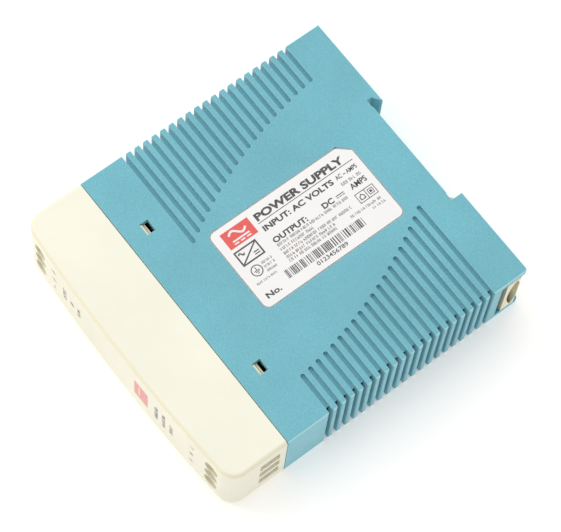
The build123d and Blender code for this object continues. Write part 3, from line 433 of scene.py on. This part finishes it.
def wound_wire(name, colour, turns_scale, axis):
    """Close turns of enamelled wire: bands across the coil's axis, painted darker between the turns as shade.
    """
    finish = Finish(name, roughness=0.3, metallic=0.6, coat=0.4)
    wave = finish.nodes.new("ShaderNodeTexWave")
    wave.wave_type = "BANDS"
    wave.bands_direction = axis
    wave.inputs["Scale"].default_value = turns_scale
    wave.inputs["Distortion"].default_value = 0.6
    finish.join(finish.place, wave.inputs["Vector"])
    # Painted shade: the colour darkens in the grooves between the turns.
    finish.colour(finish.blend(wave.outputs["Fac"], shade(colour, 0.45), colour))
    finish.relief(wave.outputs["Fac"], 0.2 * mm, 0.8)
    return finish.material


print("recipes:", [recipe.__name__ for recipe in (dipped, sintered, clear_plastic, wound_wire)])

# %% [markdown]
# With the recipes ready, a material is one line: its name, its colour and, where it differs from
# the others, its gloss or the size of its ripples. The colours are those that such parts come in,
# as blue for a dipped disc and yellow for winding tape.

# %% Mix the finishes of the parts
ferrite = sintered("sintered_ferrite", (0.045, 0.045, 0.05))
chips = sintered("fired_chip_bodies", (0.30, 0.23, 0.16), 0.5)
black_resin = moulded_plastic("black_moulding_resin", (0.020, 0.020, 0.022), 0.5, 0.06 * mm, 0.1 * mm)
bobbin_plastic = moulded_plastic("bobbin_phenolic", (0.035, 0.033, 0.032), 0.45, 0.12 * mm, 0.1 * mm)
insulating_film = film("insulating_polyester", (0.62, 0.60, 0.48), 0.3)
tape = dipped("yellow_winding_tape", (0.72, 0.50, 0.05), 0.3, 120)
film_capacitor = moulded_plastic("yellow_capacitor_box", (0.70, 0.48, 0.07), 0.35, 0.1 * mm, 0.2 * mm)
blue_dip = dipped("blue_epoxy_dip", (0.03, 0.10, 0.42))
green_dip = dipped("green_epoxy_dip", (0.04, 0.20, 0.10))
can_sleeve = dipped("capacitor_sleeve", (0.012, 0.018, 0.05), 0.25, 420, 0.3)
fuse_plastic = moulded_plastic("fuse_brown_plastic", (0.075, 0.04, 0.022), 0.4, 0.1 * mm, 0.15 * mm)
choke_wire = wound_wire("choke_copper_wire", (0.62, 0.22, 0.08), 320, "X")
inductor_wire = wound_wire("inductor_copper_wire", (0.62, 0.22, 0.08), 320, "Z")
clear_acrylic = clear_plastic("clear_acrylic", (0.86, 0.93, 0.86))
lamp_resin = clear_plastic("lamp_resin", (0.45, 0.75, 0.40))
print("materials made:", len(bpy.data.materials))

# %% [markdown]
# ## Dressing the solid pieces
# A solid piece keeps its shape. Only the material in its slots is exchanged, by name, so the list
# below can be read like a parts list.

# %% Put the finishes on the solid pieces
finishes = {
    "housing": housing_plastic,
    "front_cover": cover_plastic,
    "rating_label": label_film,
    "din_latch": latch_plastic,
    "main_board": board_mask,
    "terminal_board": board_mask,
    "board_link_pins": tin,
    "insulation_sheet": insulating_film,
    "led": lamp_resin,
    "light_pipe": clear_acrylic,
    "latch_spring": spring_wire,
    "transformer_core": ferrite,
    "transformer_bobbin": bobbin_plastic,
    "transformer_winding": tape,
    "choke_core": ferrite,
    "choke_windings": choke_wire,
    "fuse": fuse_plastic,
    "varistor": blue_dip,
    "thermistor": green_dip,
    "x_capacitor": film_capacitor,
    "y_capacitor": blue_dip,
    "bulk_capacitor": can_sleeve,
    "output_capacitor_1": can_sleeve,
    "output_capacitor_2": can_sleeve,
    "bridge_rectifier": black_resin,
    "optocoupler": black_resin,
    "controller_chip": black_resin,
    "switching_transistor": black_resin,
    "output_rectifier": black_resin,
    "primary_heat_spreader": aluminium,
    "output_heat_spreader": aluminium,
    "transistor_screw": zinc,
    "rectifier_screw": zinc,
    "output_inductor_core": ferrite,
    "output_inductor_winding": inductor_wire,
    "surface_parts": chips,
}
for end in ("input", "output"):
    finishes["terminal_block_" + end] = terminal_plastic
    finishes[end + "_contacts"] = tin
    for pole in (1, 2, 3):
        finishes[f"{end}_screw_{pole}"] = zinc
        finishes[f"{end}_clamp_{pole}"] = zinc


def dress(piece, material):
    """Puts one material in every slot of a piece."""
    if not piece.material_slots:
        piece.data.materials.append(material)
    for place in piece.material_slots:
        place.material = material


for name, piece in nodes.items():
    dress(piece, finishes[name])
print("dressed:", len(nodes), "of", len(finishes))

# %% [markdown]
# ## The latch spring
# The latch is pushed home by a compression spring that sits in its underside. The solid spring is
# hidden, and a new coil takes its place, fixed to the latch joint's parent body; it keeps its length
# when the latch moves. It is swept along a helix whose last turn at each end lies nearly flat, as a
# ground spring's does.

# %% Wind the latch spring
spring_low, spring_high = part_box("latch_spring")
wire = 0.5 * mm
coil_radius = (spring_high.z - spring_low.z) / 2 - wire / 2
coil_y = (spring_low.y + spring_high.y) / 2
coil_z = (spring_low.z + spring_high.z) / 2
turns = 7
steps_per_turn = 28
flattened_share = 0.35


def wound_place(progress):
    """How far along the spring the wire is: flat at both ends, evenly pitched between."""
    eased = progress * progress * (3 - 2 * progress)
    return (1 - flattened_share) * progress + flattened_share * eased


def tube(name, points, radius, sides=12):
    """A closed tube of round section along points that turn about the X axis."""
    mesh = bmesh.new()
    rings = []
    for index, point in enumerate(points):
        ahead = points[min(index + 1, len(points) - 1)]
        behind = points[max(index - 1, 0)]
        forward = (ahead - behind).normalized()
        side = forward.cross(Vector((1, 0, 0))).normalized()
        lift = side.cross(forward)
        ring = []
        for k in range(sides):
            angle = 2 * math.pi * k / sides
            ring.append(mesh.verts.new(point + radius * (math.cos(angle) * side + math.sin(angle) * lift)))
        rings.append(ring)
    for first, second in zip(rings, rings[1:]):
        for k in range(sides):
            mesh.faces.new((first[k], first[(k + 1) % sides], second[(k + 1) % sides], second[k]))
    mesh.faces.new(list(reversed(rings[0])))
    mesh.faces.new(rings[-1])
    bmesh.ops.recalc_face_normals(mesh, faces=mesh.faces)
    data = bpy.data.meshes.new(name)
    mesh.to_mesh(data)
    mesh.free()
    for face in data.polygons:
        face.use_smooth = True
    piece = bpy.data.objects.new(name, data)
    bpy.context.scene.collection.objects.link(piece)
    return piece


helix = []
for step in range(turns * steps_per_turn + 1):
    progress = step / (turns * steps_per_turn)
    angle = 2 * math.pi * turns * progress
    x = spring_low.x + wire / 2 + wound_place(progress) * (spring_high.x - spring_low.x - wire)
    helix.append(Vector((x, coil_y + coil_radius * math.cos(angle), coil_z + coil_radius * math.sin(angle))))
spring = tube("wound_latch_spring", helix, wire / 2)
dress(spring, spring_wire)
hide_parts("latch_spring")
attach(spring, frame["joints"][0]["parent"])
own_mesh(spring)

# %% [markdown]
# ## Tools for print
# Print is made like a stamp: outlines and words are drawn flat, in millimetres, as curves that
# Blender fills, then every point is moved onto the surface it belongs to. A flat label only needs
# a turn and a shift. The cover's front is bowed, so there each point also drops back with the bow.

# %% Draw and fill print
def filled(curve):
    """The mesh of a filled curve, made through a holder object that is then thrown away."""
    holder = bpy.data.objects.new("holder", curve)
    bpy.context.scene.collection.objects.link(holder)
    bpy.context.view_layer.update()
    data = bpy.data.meshes.new_from_object(holder.evaluated_get(bpy.context.evaluated_depsgraph_get()))
    bpy.data.objects.remove(holder)
    return data


def outline_mesh(loops):
    """Fills closed outlines, given in millimetres; an outline inside another is a hole."""
    curve = bpy.data.curves.new("outlines", "CURVE")
    curve.dimensions = "2D"
    curve.fill_mode = "BOTH"
    curve.extrude = 0.5
    for loop in loops:
        spline = curve.splines.new("POLY")
        spline.points.add(len(loop) - 1)
        for point, (u, v) in zip(spline.points, loop):
            point.co = (u, v, 0, 1)
        spline.use_cyclic_u = True
    return filled(curve)


def word_mesh(text, left, top, length, height, weight=0.0):
    """A word whose capitals fill a box, given in millimetres."""
    curve = bpy.data.curves.new("word", "FONT")
    curve.body = text
    curve.size = 10
    curve.extrude = 0.5
    curve.offset = weight
    curve.resolution_u = 3
    data = filled(curve)
    reach = max(point.co.x for point in data.vertices)
    start = min(point.co.x for point in data.vertices)
    tall = max(point.co.y for point in data.vertices)
    foot = min(point.co.y for point in data.vertices)
    foot = min(foot, 0.0) if "," in text or "g" in text else foot
    for point in data.vertices:
        point.co.x = left + (point.co.x - start) / (reach - start) * length
        point.co.y = top - height + (point.co.y - foot) / (tall - foot) * height
    return data


print("print tools:", [tool.__name__ for tool in (filled, outline_mesh, word_mesh)])

# %% [markdown]
# The signs are made of a few outlines that come again and again: boxes, rings, thick lines and the
# wave of alternating voltage. Each is a list of points, so that one can be a hole in another.


# %% Outlines used by the signs
def box_loop(left, right, low, high):
    return [(left, low), (right, low), (right, high), (left, high)]


def ring_loop(u, v, radius, points=28):
    turn = 2 * math.pi / points
    return [(u + radius * math.cos(k * turn), v + radius * math.sin(k * turn)) for k in range(points)]


def stroke_loop(path, width):
    """A thick line along a short open path."""
    left, right = [], []
    for index, (u, v) in enumerate(path):
        ahead = path[min(index + 1, len(path) - 1)]
        behind = path[max(index - 1, 0)]
        du, dv = ahead[0] - behind[0], ahead[1] - behind[1]
        size = math.hypot(du, dv)
        left.append((u - dv / size * width / 2, v + du / size * width / 2))
        right.append((u + dv / size * width / 2, v - du / size * width / 2))
    return left + right[::-1]


def wave_loop(u, v, length, height, width):
    """The sine sign of alternating voltage."""
    path = []
    for k in range(17):
        t = k / 16
        path.append((u + (t - 0.5) * length, v + math.sin(2 * math.pi * t) * height / 2))
    return stroke_loop(path, width)


def inset_loop(loop, distance):
    """A convex outline moved inwards by a distance."""
    moved = []
    for index, corner in enumerate(loop):
        before = (Vector(corner) - Vector(loop[index - 1])).normalized()
        after = (Vector(loop[(index + 1) % len(loop)]) - Vector(corner)).normalized()
        inwards = (Vector((-before.y, before.x)) + Vector((-after.y, after.x))) / (1 + before.dot(after))
        moved.append(tuple(Vector(corner) + inwards * distance))
    return moved


print("points in a ring:", len(ring_loop(0, 0, 1)))

# %% [markdown]
# Fine print is too small to read, and here it must say nothing. Each letter is one or two stems
# with a bar or two between, picked by seeded dice, so every run prints the same lines.


# %% Fine print
def box_mesh(boxes):
    """Thin separate boxes as one mesh, each given as left, right, low and high."""
    mesh = bmesh.new()
    for left, right, low, high in boxes:
        centre = Vector(((left + right) / 2, (low + high) / 2, 0))
        size = Matrix.Diagonal((right - left, high - low, 1, 1))
        bmesh.ops.create_cube(mesh, size=1, matrix=Matrix.Translation(centre) @ size)
    data = bpy.data.meshes.new("boxes")
    mesh.to_mesh(data)
    mesh.free()
    return data


def letter_strokes(dice, left, low, width, height, pen):
    """A mark that reads as a small letter: one or two stems with a bar or two between."""
    right = left + width
    strokes = [(left, left + pen, low, low + height)]
    if dice.random() < 0.6:
        strokes.append((right - pen, right, low, low + height * dice.choice((0.6, 1.0, 1.0))))
    levels = dice.sample((0.0, 0.45, 1.0), dice.choice((1, 1, 2)))
    for level in levels:
        foot = low + level * (height - pen)
        strokes.append((left + pen, right - pen * 0.5, foot, foot + pen))
    return strokes


def small_print(left, right, top, height, seed):
    """A line of print too fine to read: words of letter-like marks."""
    dice = random.Random(seed)
    tall = height * 0.8
    width = tall * 0.55
    pen = tall * 0.17
    strokes = []
    place = left
    while place < right - width:
        for _ in range(dice.randint(2, 7)):
            if place < right - width:
                strokes += letter_strokes(dice, place, top - tall, width, tall, pen)
            place += width + pen * 1.3
        place += width * 0.8
    return box_mesh(strokes)


print("strokes in a sample letter:", len(letter_strokes(random.Random(1), 0, 0, 1, 2, 0.2)))

# %% [markdown]
# A stamp joins everything printed in one ink. Each point is carried from the flat drawing onto the
# surface, with the ink's thickness above it, so the print is a closed shell and not a picture.

# %% Put print on a surface
print_thickness = 0.02 * mm


def stamp(name, meshes, onto, material, body):
    """Joins meshes drawn in millimetres into one thin piece lying on a surface."""
    joined = bmesh.new()
    for data in meshes:
        joined.from_mesh(data)
        bpy.data.meshes.remove(data)
    for point in joined.verts:
        raised = print_thickness if point.co.z > 0 else 0.0
        point.co = onto(point.co.x * mm, point.co.y * mm, raised)
    bmesh.ops.remove_doubles(joined, verts=joined.verts, dist=1e-7)
    bmesh.ops.recalc_face_normals(joined, faces=joined.faces)
    data = bpy.data.meshes.new(name)
    joined.to_mesh(data)
    joined.free()
    piece = bpy.data.objects.new(name, data)
    bpy.context.scene.collection.objects.link(piece)
    dress(piece, material)
    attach(piece, body)
    print(name, "faces:", len(data.polygons))
    return piece


print("ink thickness, mm:", round(print_thickness / mm, 3))

# %% [markdown]
# ## The rating label
# The label reads from the front of the case towards the rail, with the top of the letters towards
# the case's upper end. So along the text is +Y and up the text is -X. Its layout is the usual one:
# a red block and a heading with a rule, input and output lines, fine print, a bar code, and a
# column of small marks. The words are generic ones, and the fine print is strokes that say nothing.

# %% Print the rating label
case_body = frame["joints"][0]["parent"]
label_middle_x = (label_low.x + label_high.x) / 2


def on_label(u, v, w):
    """u runs along the text from the case's centre, v runs up the text."""
    return Vector((label_middle_x - v, u, label_top + w))


word_left = 0.9
word_height = 1.75
word_weight = 0.36
input_top = 6.55
output_top = 2.3
direct_left = 22.0
dash_step = 0.95
fine_left = 1.0
fine_height = 1.05

black = []
fine = []
black.append(word_mesh("POWER SUPPLY", 1.0, 10.6, 29.3, 2.35, 0.42))
black.append(outline_mesh([box_loop(0.7, 32.4, 7.62, 7.82)]))
black.append(word_mesh("INPUT: AC VOLTS", word_left, input_top, 23.2, word_height, word_weight))
black.append(word_mesh("AC ~ AMPS", 25.2, 6.45, 6.9, 1.35, 0.2))
fine.append(small_print(25.4, 32.0, 3.9, 1.15, 3))
black.append(word_mesh("OUTPUT:", word_left, output_top, 11.2, word_height, word_weight))
black.append(word_mesh("DC", 17.4, output_top, 3.6, word_height, word_weight))
black.append(outline_mesh([box_loop(direct_left, 24.6, 1.55, 1.8)]))
dashes = [direct_left + k * dash_step for k in range(3)]
black.append(outline_mesh([box_loop(dash, dash + 0.7, 1.0, 1.22) for dash in dashes]))
black.append(word_mesh("AMPS", 26.8, output_top, 5.2, word_height, 0.26))
fine_lines = ((0.2, 24.8), (-1.2, 12.4), (-2.6, 24.0), (-3.9, 17.4), (-5.1, 17.2))
for row, (line_top, line_end) in enumerate(fine_lines):
    fine.append(small_print(fine_left, line_end, line_top, fine_height, 10 + row))
print("label words drawn:", len(black))

# %% [markdown]
# The bar code is a run of bars and gaps of one to four narrow units. The symbols are plain ones
# that any maker may use: a house shape and a square within a square in a two-cell frame, a ring
# with an earth sign, and the sign of a converter from alternating to direct voltage.


# %% Bar code and symbols
def bar_code(left, right, low, high, seed):
    dice = random.Random(seed)
    unit = 0.165
    loops = []
    place = left
    while place < right - 4 * unit:
        bar = dice.choice((1, 1, 1, 2, 2, 3)) * unit
        loops.append(box_loop(place, place + bar, low, high))
        place += bar + dice.choice((1, 1, 2, 2, 3)) * unit
    return loops


black.append(outline_mesh(bar_code(-2.1, 24.3, -9.5, -6.9, 7)))
black.append(word_mesh("0123456789", 6.2, -10.0, 10.2, 1.25, 0.12))
black.append(word_mesh("No.", -10.0, -9.1, 4.6, 1.7, 0.3))
frame_cells = [box_loop(26.2, 32.2, -4.0, -0.9)]
frame_cells += [box_loop(left, left + 2.7, -3.8, -1.1) for left in (26.4, 29.3)]
black.append(outline_mesh(frame_cells))
house = [(26.9, -3.3), (28.6, -3.3), (28.6, -2.3), (27.75, -1.5), (26.9, -2.3)]
inner_house = [(27.2, -3.05), (28.3, -3.05), (28.3, -2.4), (27.75, -1.85), (27.2, -2.4)]
black.append(outline_mesh([house, inner_house]))
squares = [box_loop(30.65 - r, 30.65 + r, -2.45 - r, -2.45 + r) for r in (0.85, 0.65, 0.35)]
black.append(outline_mesh(squares))
fine.append(small_print(21.6, 32.1, -5.0, 0.95, 31))
fine.append(small_print(28.0, 32.1, -6.4, 0.95, 32))

converter = [box_loop(-9.8, -2.6, 0.15, 4.9), box_loop(-9.35, -3.05, 0.6, 4.45)]
converter.append(stroke_loop([(-9.3, 0.65), (-3.1, 4.4)], 0.4))
converter.append(wave_loop(-8.1, 3.45, 1.7, 0.9, 0.4))
converter.append(box_loop(-5.2, -3.5, 1.85, 2.15))
converter.append(box_loop(-5.2, -3.5, 1.15, 1.45))
for loop in (converter[:2], converter[2:3], converter[3:4], converter[4:]):
    black.append(outline_mesh(loop))
earth_ring = [ring_loop(-7.6, -2.6, 1.7), ring_loop(-7.6, -2.6, 1.42)]
black.append(outline_mesh(earth_ring))
earth_sign = [(-7.7, -7.5, -2.5, -1.5), (-8.5, -6.7, -2.7, -2.5)]
earth_sign += [(-8.2, -7.0, -3.1, -2.9), (-7.9, -7.3, -3.5, -3.3)]
black.append(box_mesh(earth_sign))
for row, line_top in enumerate((-1.3, -2.6, -3.9)):
    fine.append(small_print(-5.4, -2.0, line_top, 0.85, 40 + row))
fine.append(small_print(-10.0, -3.0, -5.5, 0.8, 45))
stamp("label_print", black, on_label, label_ink, case_body)
stamp("label_fine_print", fine, on_label, fine_ink, case_body)

# %% [markdown]
# A thin dark line of ink runs round the film, just inside its edge: a painted shadow for the narrow
# gap round the label. It could be drawn from the label's sizes, but its outline is taken from the
# solid label itself, so the line follows the cut corner.

# %% The painted shadow line round the label
line_width = 0.14
line_margin = 0.08
top_corners = [v.co for v in nodes["rating_label"].data.vertices if v.co.z > label_top - 0.01 * mm]
flat = [(corner.y / mm, (label_middle_x - corner.x) / mm) for corner in top_corners]
hull = [flat[k] for k in convex_hull_2d(flat)]
# Painted shadow: a dark ring of ink stands in for the shadow in the gap round the film.
label_edge = inset_loop(hull, line_margin)
gap_shadow_line = [outline_mesh([label_edge, inset_loop(label_edge, line_width)])]
stamp("label_gap_shadow_line", gap_shadow_line, on_label, label_ink, case_body)
print("corners of the label:", len(hull))

# %% [markdown]
# The red block carries the same generic idea as the symbols: a wave above a bar and three dashes,
# in the white of the film. It is a second stamp that lies on the first one's red.

# %% The red block
red_block = [outline_mesh([box_loop(-9.6, -0.6, 5.9, 11.1)])]
stamp("label_red_block", red_block, on_label, label_red, case_body)


def on_red(u, v, w):
    return on_label(u, v, w + print_thickness)


white_marks = [outline_mesh([wave_loop(-5.1, 9.4, 5.4, 1.7, 0.6)])]
white_marks.append(outline_mesh([box_loop(-7.8, -2.4, 7.25, 7.7)]))
white_marks.append(outline_mesh([box_loop(-7.8 + k * 2.0, -6.4 + k * 2.0, 6.45, 6.85) for k in range(3)]))
stamp("label_red_block_sign", white_marks, on_red, label_white, case_body)

# %% [markdown]
# ## Marks on the front cover
# Each terminal has its sign beside it, there is a word by the lamp, and a few lines of small print
# in the middle. When the supply stands on its rail, up is -X and across is +Z. The front is bowed:
# it falls back with the square of the distance from the middle, so the marks follow that curve.

# %% Print the front cover
front_bow = 1.7 * mm
surface_gap = 0.004 * mm


def on_front(u, v, w):
    """u runs across the front from its middle, v runs up it."""
    back = front_bow * (v / half_height) ** 2
    return Vector((-v, front_y + back - w - surface_gap, middle_z + u))


def mark_rows(signs, start, step):
    """One sign for each terminal, drawn in a column across the front."""
    meshes = []
    for k, sign in enumerate(signs):
        u = (k - 1) * step
        meshes += sign(u, start)
    return meshes


def plus_sign(u, v):
    return [box_mesh([(u - 0.8, u + 0.8, v - 0.12, v + 0.12), (u - 0.12, u + 0.12, v - 1.2, v + 1.2)])]


def minus_sign(u, v):
    return [box_mesh([(u - 0.8, u + 0.8, v - 0.12, v + 0.12)])]


def line_sign(u, v):
    return [word_mesh("L", u - 0.45, v + 0.75, 0.9, 1.5, 0.1)]


def neutral_sign(u, v):
    return [word_mesh("N", u - 0.55, v + 0.75, 1.1, 1.5, 0.1)]


def earth_mark(u, v):
    bars = [(u - 0.1, u + 0.1, v, v + 0.85), (u - 0.8, u + 0.8, v - 0.12, v + 0.06)]
    bars += [(u - 0.5, u + 0.5, v - 0.48, v - 0.3), (u - 0.22, u + 0.22, v - 0.84, v - 0.66)]
    return [box_mesh(bars)]


pole_step = 5.08
cover_weight = 0.08
marks = mark_rows((minus_sign, plus_sign, plus_sign), 30.7, pole_step)
marks += mark_rows((earth_mark, neutral_sign, line_sign), -29.7, pole_step)
marks.append(word_mesh("OUTPUT", -3.4, 26.4, 6.8, 1.5, cover_weight))
marks.append(word_mesh("DC ON", -2.2, 19.7, 4.4, 1.35, cover_weight))
marks.append(small_print(-4.4, 4.6, -14.6, 1.6, 61))
marks.append(small_print(-4.4, 4.6, -17.7, 1.5, 62))
marks.append(word_mesh("INPUT", -3.0, -20.8, 6.0, 1.3, cover_weight))
stamp("cover_print", marks, on_front, cover_ink, case_body)

red_sign = [outline_mesh([box_loop(-4.6, 4.6, -11.6, -5.9), box_loop(-3.0, 3.0, -8.2, -7.75)])]
stamp("cover_red_block", red_sign, on_front, cover_red, case_body)

# %% [markdown]
# ## Floor, light and camera
# The case lies on pale paper, as for a catalogue. More lamps could keep the paper bright, but they
# would also wash out the case. So the paper has a faint glow of its own, which keeps its tone even
# and softens the shadow that the case throws.

# %% Floor
floor_size = 3.0


def make_floor():
    mesh = bmesh.new()
    bmesh.ops.create_grid(mesh, x_segments=24, y_segments=24, size=floor_size / 2)
    for point in mesh.verts:
        point.co.z = case_low.z - 0.02 * mm
    data = bpy.data.meshes.new("floor")
    mesh.to_mesh(data)
    mesh.free()
    piece = bpy.data.objects.new("floor", data)
    bpy.context.scene.collection.objects.link(piece)
    return piece


def floor_finish():
    finish = Finish("pale_paper_floor", specular=0.2)
    cloud = finish.spread(finish.noise(9, 2.0), 0.0, 1.0)
    finish.colour(finish.blend(cloud, (0.955, 0.940, 0.930), (0.97, 0.96, 0.95)))
    finish.roughness(finish.spread(finish.noise(200, 2.0), 0.75, 0.9))
    finish.shader.inputs["Emission Color"].default_value = (1.0, 0.985, 0.975, 1)
    finish.shader.inputs["Emission Strength"].default_value = 0.20
    return finish.material


floor = make_floor()
dress(floor, floor_finish())
print("floor side, m:", floor_size)

# %% [markdown]
# The light is very soft: a broad soft box overhead, a smaller and warmer one from the left that
# shapes the grooves, and a white surrounding that fills the shadows. Small hard lamps would streak
# the label's film.

# %% Lights
sky_strength = 0.69
scene = bpy.context.scene
world = bpy.data.worlds.new("soft_studio")
scene.world = world
world.use_nodes = True
sky = world.node_tree.nodes["Background"]
sky.inputs["Color"].default_value = (1.0, 1.0, 1.0, 1)
sky.inputs["Strength"].default_value = sky_strength


def soft_box(name, place, target, size, power, tint=(1, 1, 1)):
    """A rectangular lamp that faces a target, with places and sizes in metres and power in watts."""
    light = bpy.data.lights.new(name, "AREA")
    light.shape = "RECTANGLE"
    light.size, light.size_y = size
    light.energy = power
    light.color = tint
    holder = bpy.data.objects.new(name, light)
    holder.location = place
    holder.rotation_mode = "QUATERNION"
    holder.rotation_quaternion = (Vector(target) - Vector(place)).to_track_quat("-Z", "Y")
    scene.collection.objects.link(holder)
    return holder


warm_white = (1.0, 0.965, 0.88)
overhead = soft_box("overhead", place=(-0.25, 0.10, 0.95), target=(0, 0, 0), size=(0.9, 0.9), power=3.3)
left_side = soft_box(
    "left_side", place=(-0.85, -0.55, 0.55), target=(0, 0, 0.01), size=(0.45, 0.45), power=2.5,
    tint=warm_white,
)
print("light power, W:", [round(box.data.energy, 1) for box in (overhead, left_side)])

# %% [markdown]
# The camera stands well back with a long lens, so the case's parallel edges stay almost parallel.
# It looks down on the label from over the front and the lower end, with a slight roll. The plain
# view transform leaves the teal and the cream as they were mixed.

# %% Camera
camera_data = bpy.data.cameras.new("camera")
camera_data.sensor_width = 36.0
camera_data.lens = 161.26
camera_place = Vector((0.183575, -0.177369, 0.631582))
camera_target = Vector((0.00198, 0.00134, 0.01125))
camera_roll = math.radians(7.39)
camera = bpy.data.objects.new("camera", camera_data)
camera.location = camera_place
camera.rotation_mode = "QUATERNION"
aim = (camera_target - camera_place).to_track_quat("-Z", "Y")
camera.rotation_quaternion = aim @ Matrix.Rotation(camera_roll, 3, "Z").to_quaternion()
scene.collection.objects.link(camera)
scene.camera = camera
scene.view_settings.view_transform = "Standard"
print("camera distance, mm:", round((camera_target - camera_place).length / mm))

# %% [markdown]
